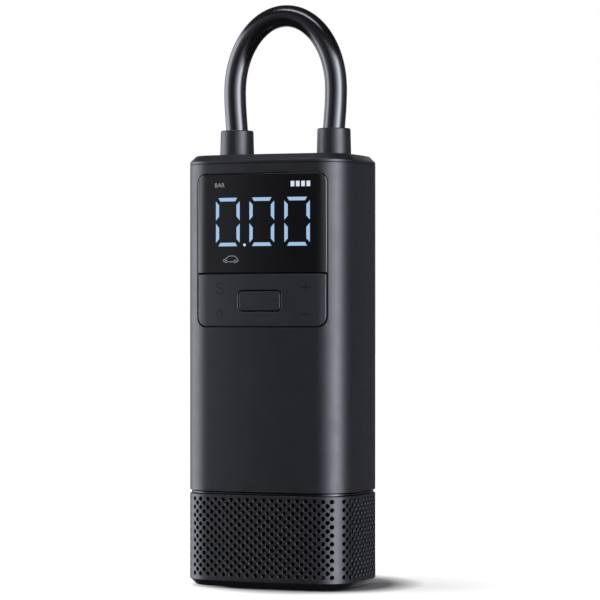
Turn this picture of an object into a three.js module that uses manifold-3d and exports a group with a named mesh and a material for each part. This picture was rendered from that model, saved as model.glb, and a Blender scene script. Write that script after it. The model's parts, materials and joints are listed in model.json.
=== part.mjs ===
// A cordless tyre inflator with a stowed air hose that doubles as its carry loop.
// Millimetres. X runs to the right of the display, Y to the back, Z up.
// The origin is the middle of the rubber sole's lower face.

import * as THREE from 'three';
import { mergeGeometries, mergeVertices } from 'three/addons/utils/BufferGeometryUtils.js';
import Module from 'manifold-3d';

const wasm = await Module();
wasm.setup();

// Clearances
const seatGap = 0.3;
const runGap = 0.5;
const pressRoom = 0.9;
const cutOverrun = 1;
const mergeReach = 0.0001;

// Body section: shallow arcs on the four sides, joined by tangent corner arcs
const bodyWidth = 70;
const bodyDepth = 48.5;
const cornerRadius = 13.2;
const frontArcRadius = 185.7;
const sideArcRadius = 112.5;
// Steps on a front arc, a side arc and a corner arc
const fineSteps = [4, 2, 6];
const plainSteps = [2, 2, 3];

// Heights of the stacked shells
const soleProud = 0.6;
const grilleHeight = 35.9;
const waistHeight = 1.25;
const sleeveHeight = 127.65;
const capRimHeight = 0.9;
const capChamfer = 2.4;
const wall = 2;

// Base
const baseChamfer = 2.4;
const lipWidth = 2.2;
const lipThickness = 3.2;
const baseFlange = 1.8;
const baseFloor = 2.3;
const basePocketWall = 2;
const soleInset = 8;
const soleThickness = 1.4;
const baseScrewHead = 5;
const baseScrewShank = 2.4;
const baseScrewHeadHeight = 1.2;
const baseScrewInsetX = 13;
const baseScrewInsetY = 13.25;
const baseBossWidth = 6;
const baseBossRise = 1;

// Grille holes
const holeWidth = 3.8;
const holeRows = 4;
const holeFirstRise = 7.6;
const holeTopMargin = 6.43;
const holeCornerBare = 9.28;
const frontHoleColumns = 7;
const sideHoleColumns = 4;
const holeSides = 4;

// Dark waist ring between grille and sleeve
const waistInset = 0.8;
const waistSpigotHeight = 4.6;
const waistSpigot = 1.2;

// Top cap
const capPlate = 2.6;
const capSpigotHeight = 2.8;
const capSpigot = 1.4;
const lampLength = 11;
const lampWidth = 5;
const lampFlange = 1.2;
const lampStemLength = 6;
const lampStemWidth = 3.4;
const lampDepth = 0.2;

// Front panel: window above, key plate below, in one opening
const panelInset = 7.65;
const panelDrop = 3.9;
const keyPanelHeight = 20.8;
const windowHeight = 39;
const panelCorner = 3.1;
const panelThickness = 1.6;
const panelBreak = 0.3;
const carrierThickness = 1.6;
const carrierLapSide = 2.65;
const carrierLapBelow = 3.4;
const carrierLapAbove = 0.8;
const carrierBossWidth = 4.4;

// Start button and keys
const buttonWidth = 17.3;
const buttonHeight = 7.5;
const buttonCorner = 1.5;
const buttonRise = 10.2;
const buttonFlange = 1;
const keyInset = 3.1;
const keySpreadZ = 5.2;
const keyPost = 3;
const matSetback = 4.1;
const matThickness = 1;
const matDome = 4;
const matDomeHeight = 0.5;
const matInset = 5.85;
const matHeight = 15.2;
const matWindowWidth = 13;
const matWindowHeight = 6.4;
const buttonPostWidth = 5;
const buttonPostHeight = 3.4;

// Front board with its light guide and switches
const boardSetback = 7.6;
const boardThickness = 1;
const frontBoardInset = 1.85;
const guideInset = 5.35;
const guideHeight = 32;
const guideThickness = 3.4;
const switchWidth = 4.4;
const switchHeight = 1;
const switchPlunger = 2.2;
const boardScrewHead = 3.6;
const boardScrewHeadHeight = 1.1;
const boardScrewShank = 1.6;
const boardScrewInset = 2.6;
const boardScrewRise = 3.2;

// Inner frame and battery
const deckRoom = 0.2;
const deckThickness = 1.8;
const deckWellRoom = 1.2;
const cellSideRoom = 4.5;
const cellSpacing = 0.6;
const cellCount = 3;
const cellNub = 5.6;
const cellNubHeight = 0.9;
const cellShoulder = 1.2;
const linkThickness = 0.3;
const linkWidth = 7;
const webThickness = 1.8;
const webRoom = 0.7;
const frameSideShort = 6.1;
const tubeDoor = 11;

// Control board behind the cells
const mainBoardSideRoom = 9.2;
const mainBoardBackRoom = 2.35;
const mainBoardThickness = 1.2;
const mainBoardRoom = 0.9;
const chipHeight = 1;
const chipWidth = 7;

// Charging board with port and lamp
const chargeBoardRoom = 1.4;
const chargeBoardLift = 3;
const chargeBoardThickness = 1.2;
const chargeBoardFrontRoom = 5.15;
const portWidth = 8.9;
const portHeight = 3.2;
const portDepth = 7.3;
const portWall = 0.3;
const portTongue = 0.7;
const portTongueDepth = 4.4;
const portDoorRoom = 0.45;
const ledWidth = 3;
const ledHeight = 1;

// Pump: motor, gear pair, crank, rod, piston and cylinder
const pumpSideRoom = 1;
const pumpFrontRoom = 1.6;
const pumpPlate = 2.4;
const crankForward = 5;
const toothModule = 0.875;
const pinionTeeth = 8;
const gearTeeth = 32;
const gearSlack = 0.1;
const gearWidth = 4;
const motorAngle = -50;
const gearBearingWidth = 8;
const gearBearingBore = 4.4;
const gearBearingLength = 3;
const bearingBossWidth = 9.8;
const crankAxle = 3.8;
const crankRadius = 3.5;
const crankWeb = 12;
const crankWebThickness = 1.6;
const crankPin = 4;
const rodLength = 21.5;
const rodWidth = 3.6;
const rodBigEye = 9;
const rodSmallEye = 6.4;
const rodShank = 4.4;
const wristPin = 2.8;
const wristPinLength = 7;
const pistonDiameter = 19;
const pistonSkirt = 3;
const pistonWall = 2.2;
const pistonCrown = 3.2;
const pistonRing = 1.3;
const pistonRingDepth = 1;
const pistonRingDrop = 0.9;
const pistonRingGap = 0.1;
const boreGap = 0.2;
const cylinderWall = 1.3;
const finReach = 1.2;
const finThickness = 1.4;
const finCount = 2;
const headHeight = 3.4;
const headRoom = 0.5;
const flangeThickness = 2;
const footThickness = 2;
const footReach = 11;
const footPadInset = 4.9;
const grommetWidth = 7;
const grommetHeight = 3;
const pumpScrew = 2.6;
const pumpScrewHead = 5;
const pumpScrewHeadHeight = 1.8;
const motorDiameter = 24.4;
const motorFloorRoom = 1.42;
const motorBackRoom = 3.2;
const motorEndRoom = 4.1;
const motorShaft = 2.3;
const motorNose = 7;
const motorNoseLength = 1.2;
const motorCapLength = 4;
const motorTail = 1.6;
const motorScrewInset = 4.2;
const motorScrewHead = 3.8;
const motorScrewHeadHeight = 1.4;
const motorScrewShank = 2;
const motorScrewDepth = 3;
const saddleThickness = 3;
const saddleWidth = 14;
const saddleBack = 4;

// Air line inside
const barbWidth = 3.4;
const barbBore = 1.6;
const barbSeat = 4;
const outletForward = 3.9;
const sensorSpacing = 6.9;
const sensorWidth = 7;
const sensorHeight = 5;
const innerTube = 6.2;
const innerTubeBore = 4.6;

// Air hose and its ends
const hoseInset = 14.3;
const hoseY = 2.5;
const hoseDiameter = 8.7;
const hoseBore = 4.6;
const hoseSwell = 1.1;
const hoseWidestRise = 26.4;
const hoseTopRise = 56.1;
const collarTop = 13;
const collarBase = 13.6;
const collarHeight = 10.5;
const collarFloor = 1.2;
const collarBreak = 0.3;
const neck = 5;
const fittingFlange = 11;
const fittingFlangeHeight = 2.4;
const fittingReach = 12;

// Screw chuck in its well
const chuckBody = 11.8;
const chuckDepth = 20.5;
const chuckLip = 1.4;
const insertWall = 1.2;
const valveBore = 7.8;
const sealHeight = 2;
const depressor = 1.8;
const depressorTip = 3.4;
const wellDepth = 22.6;
const wellWall = 1.4;
const wellFloor = 1.2;

// Places that follow from the sizes above
const grilleTop = soleProud + grilleHeight;
const sleeveZ = grilleTop + waistHeight;
const sleeveTop = sleeveZ + sleeveHeight;
const capZ = sleeveTop + seatGap;
const capShoulder = capZ + capRimHeight;
const capTop = capShoulder + capChamfer;
const frontY = -bodyDepth / 2;
const innerInset = wall + seatGap;
const innerHalfWidth = bodyWidth / 2 - innerInset;
const innerHalfDepth = bodyDepth / 2 - innerInset;
const baseScrewX = bodyWidth / 2 - baseScrewInsetX;
const baseScrewY = bodyDepth / 2 - baseScrewInsetY;

// The front panel hangs from the sleeve's top edge
const panelWidth = bodyWidth - 2 * panelInset;
const panelTop = sleeveTop - panelDrop;
const windowZ = panelTop - windowHeight;
const panelZ = windowZ - keyPanelHeight;
const carrierWidth = panelWidth + 2 * carrierLapSide;
const frontBoardWidth = panelWidth - 2 * frontBoardInset;
const guideWidth = panelWidth - 2 * guideInset;
const matWidth = panelWidth - 2 * matInset;
const keySpreadX = matWidth / 2 - keyInset;
const buttonZ = panelZ + buttonRise;
const boardY = frontY + boardSetback;
const matY = frontY + matSetback;
const plungerY = matY + matThickness + matDomeHeight + runGap;

// The pump stands at the right wall and works back to the plate that carries it
const cylinderBoreRadius = pistonDiameter / 2 + boreGap;
const cylinderRadius = cylinderBoreRadius + cylinderWall;
const pumpReach = cylinderRadius + finReach;
const cylinderX = innerHalfWidth - pumpSideRoom - pumpReach;
const rodX = cylinderX - rodWidth / 2;
const webX = rodX - runGap - crankWebThickness;
const gearX = webX - seatGap - gearWidth;
const plateRight = gearX - runGap;
const pumpPlateX = plateRight - pumpPlate;

// The motor lies behind the crank at its angle, or steeper where the back wall is near
const baseFloorTop = soleProud + seatGap + baseFloor;
const flangeZ = soleProud + lipThickness + seatGap;
const centreDistance = toothModule * (pinionTeeth + gearTeeth) / 2 + gearSlack;
const crankY = Math.max(-crankForward, pumpReach + pumpFrontRoom - innerHalfDepth);
const motorY = Math.min(
  crankY + centreDistance * Math.cos(THREE.MathUtils.degToRad(motorAngle)),
  innerHalfDepth - motorBackRoom - motorDiameter / 2,
);
const motorTurn = -Math.acos((motorY - crankY) / centreDistance);
const motorZ = baseFloorTop + motorFloorRoom + motorDiameter / 2;
const crankZ = motorZ - centreDistance * Math.sin(motorTurn);
const motorFront = pumpPlateX - seatGap;
const motorScrewSpread = motorDiameter / 2 - motorScrewInset;
const motorBack = motorEndRoom + motorTail + motorCapLength + seatGap - innerHalfWidth;
const grommetZ = baseFloorTop + seatGap;
const footZ = grommetZ + grommetHeight + seatGap;
const footBack = motorY + motorDiameter / 2 - motorTail;
const footPadY = footBack - footPadInset;

// The cylinder stands over the crank, and its head carries the outlet and the sensor
const stroke = 2 * crankRadius;
const wristZ = crankZ + crankRadius + rodLength;
const pistonBase = wristZ - pistonSkirt;
const pistonInnerTop = wristZ + rodSmallEye / 2 + stroke + seatGap;
const pistonTop = pistonInnerTop + pistonCrown;
const pumpFlangeTop = pistonBase - stroke + flangeThickness + seatGap;
const cylinderZ = pumpFlangeTop + seatGap;
const cylinderTop = pistonTop + headRoom;
const headZ = cylinderTop + seatGap;
const headTop = headZ + headHeight;
const outletY = crankY - outletForward;
const sensorX = cylinderX - sensorSpacing;

// The hose ends and the chuck's well
const hoseX = bodyWidth / 2 - hoseInset;
const collarZ = capTop + seatGap;
const collarEnd = collarZ + collarHeight;
const hoseEnd = collarZ + collarFloor + seatGap;
const chuckBoreRadius = valveBore / 2 + insertWall + seatGap;
const chuckFoot = capTop - chuckDepth;
const chuckLipZ = hoseEnd - seatGap - chuckLip;
const wellRadius = chuckBody / 2 + runGap;

// The cells fill the room between the pump's deck and the deck under the well
const deckZ = headTop + deckRoom;
const deckTop = deckZ + deckThickness;
const upperDeckTop = capTop - wellDepth - wellFloor - deckWellRoom;
const upperDeckZ = upperDeckTop - deckThickness;
const cellZ = deckTop + seatGap + linkThickness + seatGap;
const cellTop = upperDeckZ - seatGap - linkThickness - seatGap;
const mainBoardWidth = 2 * (innerHalfWidth - mainBoardSideRoom);
const mainBoardY = innerHalfDepth - mainBoardBackRoom - mainBoardThickness;
const cellBack = mainBoardY - mainBoardRoom;
const cellFront = outletY + sensorWidth / 2 + runGap + webThickness + webRoom;
const cellWidthShared = 2 * (innerHalfWidth - cellSideRoom) - (cellCount - 1) * cellSpacing;
const cellDiameter = Math.min(cellWidthShared / cellCount, cellBack - cellFront);
const cellY = cellBack - cellDiameter / 2;
const cellPitch = cellDiameter + cellSpacing;
const webY = cellY - cellDiameter / 2 - webRoom;

// The charging board lies between the well and the back wall's port door
const chargeBoardWidth = 2 * (hoseX - wellRadius - wellWall - chargeBoardRoom);
const chargeZ = upperDeckTop + chargeBoardLift;
const chargeTop = chargeZ + chargeBoardThickness;
const portZ = chargeTop + seatGap;
const portBack = innerHalfDepth;

// Plan section

// Centre of the front right corner arc, tangent inside to the front and side arcs
function cornerCentre() {
  const front = new THREE.Vector2(0, frontY + frontArcRadius);
  const side = new THREE.Vector2(bodyWidth / 2 - sideArcRadius, 0);
  const reachFront = frontArcRadius - cornerRadius;
  const reachSide = sideArcRadius - cornerRadius;
  const apart = front.distanceTo(side);
  const along = (reachFront ** 2 - reachSide ** 2 + apart ** 2) / (2 * apart);
  const aside = Math.sqrt(reachFront ** 2 - along ** 2);
  const direction = side.clone().sub(front).divideScalar(apart);
  const normal = new THREE.Vector2(-direction.y, direction.x);
  return front.clone().addScaledVector(direction, along).addScaledVector(normal, aside);
}

const corner = cornerCentre();
const frontHalfAngle = Math.atan2(corner.x, frontY + frontArcRadius - corner.y);
const sideHalfAngle = Math.atan2(-corner.y, corner.x + sideArcRadius - bodyWidth / 2);

// The eight arcs of the section, counter clockwise from the front left
function sectionArcs([frontSteps, sideSteps, cornerSteps] = fineSteps) {
  const front = frontY + frontArcRadius;
  const side = sideArcRadius - bodyWidth / 2;
  const quarter = Math.PI / 2;
  const arcs = [
    [0, front, frontArcRadius, -quarter - frontHalfAngle, -quarter + frontHalfAngle, frontSteps],
    [corner.x, corner.y, cornerRadius, -quarter + frontHalfAngle, -sideHalfAngle, cornerSteps],
    [-side, 0, sideArcRadius, -sideHalfAngle, sideHalfAngle, sideSteps],
    [corner.x, -corner.y, cornerRadius, sideHalfAngle, quarter - frontHalfAngle, cornerSteps],
  ];
  const opposite = arcs.map(([x, y, radius, from, to, steps]) => {
    return [-x, -y, radius, from + Math.PI, to + Math.PI, steps];
  });
  return [...arcs, ...opposite];
}

function sectionPoints(inset, detail) {
  const points = [];
  for (const [x, y, radius, from, to, steps] of sectionArcs(detail)) {
    for (let i = 0; i < steps; i++) {
      const angle = from + (to - from) * i / steps;
      const reach = radius - inset;
      points.push(new THREE.Vector2(x + reach * Math.cos(angle), y + reach * Math.sin(angle)));
    }
  }
  return points;
}

// Place and outward angle on the section at a distance round it from the front middle
function sectionAt(distance) {
  const arcs = sectionArcs();
  let left = distance + frontArcRadius * frontHalfAngle;
  for (const [x, y, radius, from, to] of [...arcs, ...arcs]) {
    const length = radius * (to - from);
    if (left <= length) {
      const angle = from + left / radius;
      return { x: x + radius * Math.cos(angle), y: y + radius * Math.sin(angle), angle };
    }
    left -= length;
  }
  return null;
}

function quarterLength() {
  const cornerAngle = Math.PI / 2 - frontHalfAngle - sideHalfAngle;
  const arcs = frontArcRadius * frontHalfAngle + sideArcRadius * sideHalfAngle;
  return arcs + cornerRadius * cornerAngle;
}

// Solids

function solidOf(geometry) {
  const bare = geometry.clone();
  bare.deleteAttribute('normal');
  bare.deleteAttribute('uv');
  const merged = mergeVertices(bare, mergeReach);
  const index = merged.index.array;
  const triangles = [];
  for (let i = 0; i < index.length; i += 3) {
    const [a, b, c] = [index[i], index[i + 1], index[i + 2]];
    if (a !== b && b !== c && c !== a) triangles.push(a, b, c);
  }
  const positions = new Float32Array(merged.attributes.position.array);
  return new wasm.Manifold(new wasm.Mesh({
    numProp: 3,
    vertProperties: positions,
    triVerts: new Uint32Array(triangles),
  }));
}

function geometryOf(solid) {
  const mesh = solid.getMesh();
  const geometry = new THREE.BufferGeometry();
  geometry.setAttribute('position', new THREE.BufferAttribute(mesh.vertProperties, 3));
  geometry.setIndex(new THREE.BufferAttribute(mesh.triVerts, 1));
  geometry.computeVertexNormals();
  return geometry;
}

function join(...solids) {
  return solids.reduce((whole, solid) => whole.add(solid));
}

function cut(solid, ...tools) {
  return tools.reduce((whole, tool) => whole.subtract(tool), solid);
}

// Rings of equal point count joined in order, either round again or capped at both ends
function loftRings(rings, capped) {
  const count = rings[0].length;
  const positions = rings.flat(2);
  const index = [];
  const last = capped ? rings.length - 1 : rings.length;
  for (let r = 0; r < last; r++) {
    const lower = r * count;
    const upper = ((r + 1) % rings.length) * count;
    for (let i = 0; i < count; i++) {
      const j = (i + 1) % count;
      index.push(lower + i, lower + j, upper + j, lower + i, upper + j, upper + i);
    }
  }
  if (capped) {
    const flat = (ring) => ring.map(([x, y]) => new THREE.Vector2(x, y));
    const top = (rings.length - 1) * count;
    for (const [a, b, c] of THREE.ShapeUtils.triangulateShape(flat(rings[0]), [])) {
      index.push(c, b, a);
    }
    for (const [a, b, c] of THREE.ShapeUtils.triangulateShape(flat(rings.at(-1)), [])) {
      index.push(top + a, top + b, top + c);
    }
  }
  const geometry = new THREE.BufferGeometry();
  geometry.setAttribute('position', new THREE.Float32BufferAttribute(positions, 3));
  geometry.setIndex(index);
  return solidOf(geometry);
}

function sectionRing(inset, z, detail) {
  return sectionPoints(inset, detail).map((point) => [point.x, point.y, z]);
}

// A wall profile of [inset, z] points, outer side upward and inner side downward, carried round
function sectionWall(profile, detail = fineSteps) {
  return loftRings(profile.map(([inset, z]) => sectionRing(inset, z, detail)), false);
}

// A full block with the body's section, from [inset, z] points going up
function sectionBlock(profile, detail = fineSteps) {
  return loftRings(profile.map(([inset, z]) => sectionRing(inset, z, detail)), true);
}

function block([x0, x1], [y0, y1], [z0, z1]) {
  const geometry = new THREE.BoxGeometry(x1 - x0, y1 - y0, z1 - z0);
  geometry.translate((x0 + x1) / 2, (y0 + y1) / 2, (z0 + z1) / 2);
  return solidOf(geometry);
}

// Cylinders along the three axes; the place names the two coordinates across the axis
function post(diameter, [x, y], [z0, z1], sides = 12) {
  const geometry = new THREE.CylinderGeometry(diameter / 2, diameter / 2, z1 - z0, sides);
  geometry.rotateX(Math.PI / 2);
  geometry.translate(x, y, (z0 + z1) / 2);
  return solidOf(geometry);
}

function pinX(diameter, [y, z], [x0, x1], sides = 12) {
  const geometry = new THREE.CylinderGeometry(diameter / 2, diameter / 2, x1 - x0, sides);
  geometry.rotateZ(Math.PI / 2);
  geometry.translate((x0 + x1) / 2, y, z);
  return solidOf(geometry);
}

function pinY(diameter, [x, z], [y0, y1], sides = 16) {
  const geometry = new THREE.CylinderGeometry(diameter / 2, diameter / 2, y1 - y0, sides);
  geometry.translate(x, (y0 + y1) / 2, z);
  return solidOf(geometry);
}

// A turned piece about Z from [radius, z] points that start and end on the axis, going up outside
function turned(profile, [x, y], sides = 20) {
  const points = profile.map(([radius, z]) => new THREE.Vector2(radius, z));
  const geometry = new THREE.LatheGeometry(points, sides);
  geometry.rotateX(Math.PI / 2);
  geometry.translate(x, y, 0);
  return solidOf(geometry);
}

// A turned ring about Z, its profile closed on itself
function turnedRing(profile, place, sides = 20) {
  return turned([...profile, profile[0]], place, sides);
}

// A turned piece about X from [radius, x] points
function turnedX(profile, [y, z], sides = 20) {
  const points = profile.map(([radius, x]) => new THREE.Vector2(radius, x));
  const geometry = new THREE.LatheGeometry(points, sides);
  geometry.rotateZ(-Math.PI / 2);
  geometry.translate(0, y, z);
  return solidOf(geometry);
}

// A rounded rectangle whose upper and lower corners can differ
function roundedShape(width, height, lowerCorner, upperCorner) {
  const [w, h] = [width / 2, height / 2];
  const quarter = Math.PI / 2;
  const shape = new THREE.Shape();
  shape.moveTo(-w + lowerCorner, -h);
  shape.lineTo(w - lowerCorner, -h);
  shape.absarc(w - lowerCorner, -h + lowerCorner, lowerCorner, -quarter, 0);
  shape.lineTo(w, h - upperCorner);
  shape.absarc(w - upperCorner, h - upperCorner, upperCorner, 0, quarter);
  shape.lineTo(-w + upperCorner, h);
  shape.absarc(-w + upperCorner, h - upperCorner, upperCorner, quarter, 2 * quarter);
  shape.lineTo(-w, -h + lowerCorner);
  shape.absarc(-w + lowerCorner, -h + lowerCorner, lowerCorner, 2 * quarter, 3 * quarter);
  return shape;
}

// A shape in X and Z carried from y0 back to y1
function plateY(shape, [x, z], [y0, y1], curveSegments = 2) {
  const options = { depth: y1 - y0, bevelEnabled: false, curveSegments };
  const geometry = new THREE.ExtrudeGeometry(shape, options);
  geometry.rotateX(Math.PI / 2);
  geometry.translate(x, y1, z);
  return solidOf(geometry);
}

// A shape in X and Y carried up from z0 to z1
function plateZ(shape, [x, y], [z0, z1], curveSegments = 2) {
  const options = { depth: z1 - z0, bevelEnabled: false, curveSegments };
  const geometry = new THREE.ExtrudeGeometry(shape, options);
  geometry.translate(x, y, z0);
  return solidOf(geometry);
}

// A shape in Y and Z carried from x0 to x1
function plateX(shape, [x0, x1], curveSegments = 4) {
  const options = { depth: x1 - x0, bevelEnabled: false, curveSegments };
  const geometry = new THREE.ExtrudeGeometry(shape, options);
  geometry.rotateX(Math.PI / 2);
  geometry.rotateZ(Math.PI / 2);
  geometry.translate(x0, 0, 0);
  return solidOf(geometry);
}

// A round tube along a path, hollow from end to end
function tube(path, diameter, bore, steps, sides, boreSides) {
  const circle = (radius, count) => Array.from({ length: count }, (_, i) => {
    const angle = 2 * Math.PI * i / count;
    return new THREE.Vector2(radius * Math.cos(angle), radius * Math.sin(angle));
  });
  const shape = new THREE.Shape(circle(diameter / 2, sides));
  shape.holes.push(new THREE.Path(circle(bore / 2, boreSides)));
  const options = { steps, bevelEnabled: false, extrudePath: path };
  return solidOf(new THREE.ExtrudeGeometry(shape, options));
}

// Shells

function sleeve() {
  const shell = sectionWall([[0, sleeveZ], [0, sleeveTop], [wall, sleeveTop], [wall, sleeveZ]]);
  const height = keyPanelHeight + windowHeight;
  const opening = roundedShape(panelWidth, height, panelCorner, panelCorner);
  const portDoor = roundedShape(portWidth + 2 * portDoorRoom, portHeight + 2 * portDoorRoom,
    (portHeight + portDoorRoom) / 2, (portHeight + portDoorRoom) / 2);
  return cut(
    shell,
    plateY(opening, [0, panelZ + height / 2], [frontY - cutOverrun, 0]),
    plateY(portDoor, [0, portZ + portHeight / 2], [0, bodyDepth / 2 + cutOverrun]),
  );
}

function topCap() {
  const lid = sectionBlock([
    [0, capZ],
    [0, capShoulder],
    [capChamfer, capTop],
  ]);
  const spigotInner = innerInset + capSpigot;
  const spigot = sectionBlock([
    [innerInset, capZ - capSpigotHeight],
    [innerInset, capZ + cutOverrun],
  ], plainSteps);
  const hollow = sectionBlock([
    [spigotInner, capZ - capSpigotHeight - cutOverrun],
    [spigotInner, capTop - capPlate],
  ], plainSteps);
  const wellOuter = wellRadius + wellWall;
  const well = post(2 * wellOuter, [hoseX, hoseY], [capTop - wellDepth - wellFloor, capTop - cutOverrun]);
  const bore = post(2 * wellRadius, [hoseX, hoseY], [capTop - wellDepth, capTop + cutOverrun]);
  const rootHole = post(neck + 2 * seatGap, [-hoseX, hoseY], [capZ, capTop + cutOverrun]);
  const lampHole = lampOutline(lampLength + 2 * seatGap, lampWidth + 2 * seatGap);
  return cut(
    join(cut(join(lid, spigot), hollow), well),
    bore,
    rootHole,
    plateZ(lampHole, [0, hoseY], [capZ, capTop + cutOverrun]),
  );
}

function waistRing() {
  const spigotZ = grilleTop - waistSpigotHeight;
  const spigotTop = sleeveZ + waistSpigotHeight;
  const inner = innerInset + waistSpigot;
  return sectionWall([
    [innerInset, spigotZ],
    [innerInset, grilleTop + seatGap],
    [waistInset, grilleTop + seatGap],
    [waistInset, sleeveZ - seatGap],
    [innerInset, sleeveZ - seatGap],
    [innerInset, spigotTop],
    [inner, spigotTop],
    [inner, spigotZ],
  ], plainSteps);
}

function grilleHoleCutters() {
  const tools = [];
  const steps = (frontHoleColumns - 1) / 2 + (sideHoleColumns - 1) / 2;
  const holePitchRound = (quarterLength() - holeCornerBare) / steps;
  const holePitchUp = (grilleHeight - holeFirstRise - holeTopMargin) / (holeRows - 1);
  const addRow = (middle, columns, rows, rise) => {
    for (let column = 0; column < columns; column++) {
      const distance = middle + (column - (columns - 1) / 2) * holePitchRound;
      const { x, y, angle } = sectionAt(distance);
      for (let row = 0; row < rows; row++) {
        const tool = new THREE.CylinderGeometry(
          holeWidth / 2, holeWidth / 2, 2 * (wall + cutOverrun), holeSides);
        tool.rotateZ(Math.PI / 2);
        tool.rotateZ(angle);
        tool.translate(x, y, rise + row * holePitchUp);
        tools.push(tool);
      }
    }
  };
  const firstRise = soleProud + holeFirstRise;
  for (let side = 0; side < 4; side++) {
    const columns = side % 2 === 0 ? frontHoleColumns : sideHoleColumns;
    const middle = side * quarterLength();
    addRow(middle, columns, holeRows, firstRise);
    addRow(middle, columns - 1, holeRows - 1, firstRise + holePitchUp / 2);
  }
  return solidOf(mergeGeometries(tools));
}

function baseGrille() {
  const lipTop = soleProud + lipThickness;
  const shell = sectionWall([
    [baseChamfer, soleProud],
    [0, soleProud + baseChamfer],
    [0, grilleTop],
    [wall, grilleTop],
    [wall, lipTop],
    [wall + lipWidth, lipTop],
    [wall + lipWidth, soleProud],
  ]);
  return cut(shell, grilleHoleCutters());
}

function basePlate() {
  const stepInset = wall + lipWidth + seatGap;
  const plate = sectionBlock([
    [stepInset, soleProud],
    [stepInset, flangeZ],
    [innerInset, flangeZ],
    [innerInset, flangeZ + baseFlange],
  ], plainSteps);
  const pocketInset = stepInset + basePocketWall;
  const pocket = sectionBlock([
    [pocketInset, baseFloorTop],
    [pocketInset, flangeZ + baseFlange + cutOverrun],
  ], plainSteps);
  const soleRecess = sectionBlock([
    [soleInset - seatGap, soleProud - cutOverrun],
    [soleInset - seatGap, soleThickness + seatGap],
  ], plainSteps);
  const bosses = baseScrewPlaces().map((place) => {
    return post(baseBossWidth, place, [soleThickness + 2 * seatGap, baseFloorTop + baseBossRise], 6);
  });
  const saddleX = motorBack + saddleBack;
  const saddle = block([saddleX, saddleX + saddleThickness],
    [motorY - saddleWidth / 2, motorY + saddleWidth / 2], [baseFloorTop - seatGap, motorZ]);
  const motorRoom = pinX(motorDiameter + 2 * seatGap, [motorY, motorZ],
    [saddleX - cutOverrun, saddleX + saddleThickness + cutOverrun], 14);
  const hollow = cut(plate, pocket, soleRecess);
  const dressed = cut(join(hollow, ...bosses, saddle), motorRoom);
  return cut(dressed, ...baseScrewPlaces().flatMap((place) => {
    const headTop = soleThickness + 2 * seatGap + baseScrewHeadHeight;
    return [
      post(baseScrewHead + 2 * seatGap, place, [soleThickness, headTop], 6),
      post(baseScrewShank + 2 * seatGap, place, [soleThickness, flangeZ + baseFlange + cutOverrun], 6),
    ];
  }));
}

function baseScrewPlaces() {
  return [[-1, -1], [1, -1], [1, 1], [-1, 1]].map(([x, y]) => [x * baseScrewX, y * baseScrewY]);
}

function baseScrew([x, y]) {
  const headZ0 = soleThickness + seatGap;
  const headZ1 = headZ0 + baseScrewHeadHeight;
  return turned([
    [0, headZ0],
    [baseScrewHead / 2, headZ0],
    [baseScrewHead / 2, headZ1],
    [baseScrewShank / 2, headZ1],
    [baseScrewShank / 2, baseFloorTop + baseBossRise],
    [0, baseFloorTop + baseBossRise],
  ], [x, y], 6);
}

function rubberSole() {
  return sectionBlock([[soleInset, 0], [soleInset, soleThickness]], plainSteps);
}

// Front panel

function frontShell([outer, inner], [z0, z1], shape, shapeZ, detail = fineSteps) {
  const shell = sectionWall([[outer, z0], [outer, z1], [inner, z1], [inner, z0]], detail);
  return shell.intersect(plateY(shape, [0, shapeZ], [frontY - cutOverrun, 0]));
}

function displayWindow() {
  const z0 = windowZ + seatGap / 2;
  const z1 = panelTop - seatGap;
  const shape = roundedShape(panelWidth - 2 * seatGap, z1 - z0, panelBreak, panelCorner - seatGap);
  return frontShell([0, panelThickness], [z0 - cutOverrun, z1 + cutOverrun], shape, (z0 + z1) / 2);
}

function keyPlate() {
  const z0 = panelZ + seatGap;
  const z1 = windowZ - seatGap / 2;
  const shape = roundedShape(panelWidth - 2 * seatGap, z1 - z0, panelCorner - seatGap, panelBreak);
  const plate = frontShell([0, panelThickness], [z0 - cutOverrun, z1 + cutOverrun], shape, (z0 + z1) / 2);
  const hole = roundedShape(buttonWidth + 2 * seatGap, buttonHeight + 2 * seatGap,
    buttonCorner + seatGap, buttonCorner + seatGap);
  const posts = keyPlaces().map(([x, z]) => {
    return pinY(keyPost, [x, z], [frontY + panelThickness + seatGap, matY - runGap], 8);
  });
  return cut(join(plate, ...posts), plateY(hole, [0, buttonZ], [frontY - cutOverrun, 0]));
}

function keyPlaces() {
  return [[-1, -1], [1, -1], [1, 1], [-1, 1]].map(([x, z]) => {
    return [x * keySpreadX, buttonZ + z * keySpreadZ];
  });
}

function startButton() {
  const shape = roundedShape(buttonWidth, buttonHeight, buttonCorner, buttonCorner);
  const z0 = buttonZ - buttonHeight / 2;
  const z1 = buttonZ + buttonHeight / 2;
  const cap = frontShell([0, panelThickness], [z0 - cutOverrun, z1 + cutOverrun], shape, buttonZ);
  const stem = block([-buttonPostWidth / 2, buttonPostWidth / 2],
    [frontY + panelThickness - buttonFlange, plungerY - pressRoom],
    [buttonZ - buttonPostHeight / 2, buttonZ + buttonPostHeight / 2]);
  return join(cap, stem);
}

function keyMat() {
  const shape = roundedShape(matWidth, matHeight, panelCorner, panelCorner);
  const sheet = plateY(shape, [0, buttonZ], [matY, matY + matThickness]);
  const window = roundedShape(matWindowWidth, matWindowHeight, buttonCorner, buttonCorner);
  const domes = keyPlaces().map((place) => {
    return pinY(matDome, place, [matY + matThickness / 2, matY + matThickness + matDomeHeight], 6);
  });
  return cut(join(sheet, ...domes),
    plateY(window, [0, buttonZ], [matY - cutOverrun, matY + matThickness + cutOverrun]));
}

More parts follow.
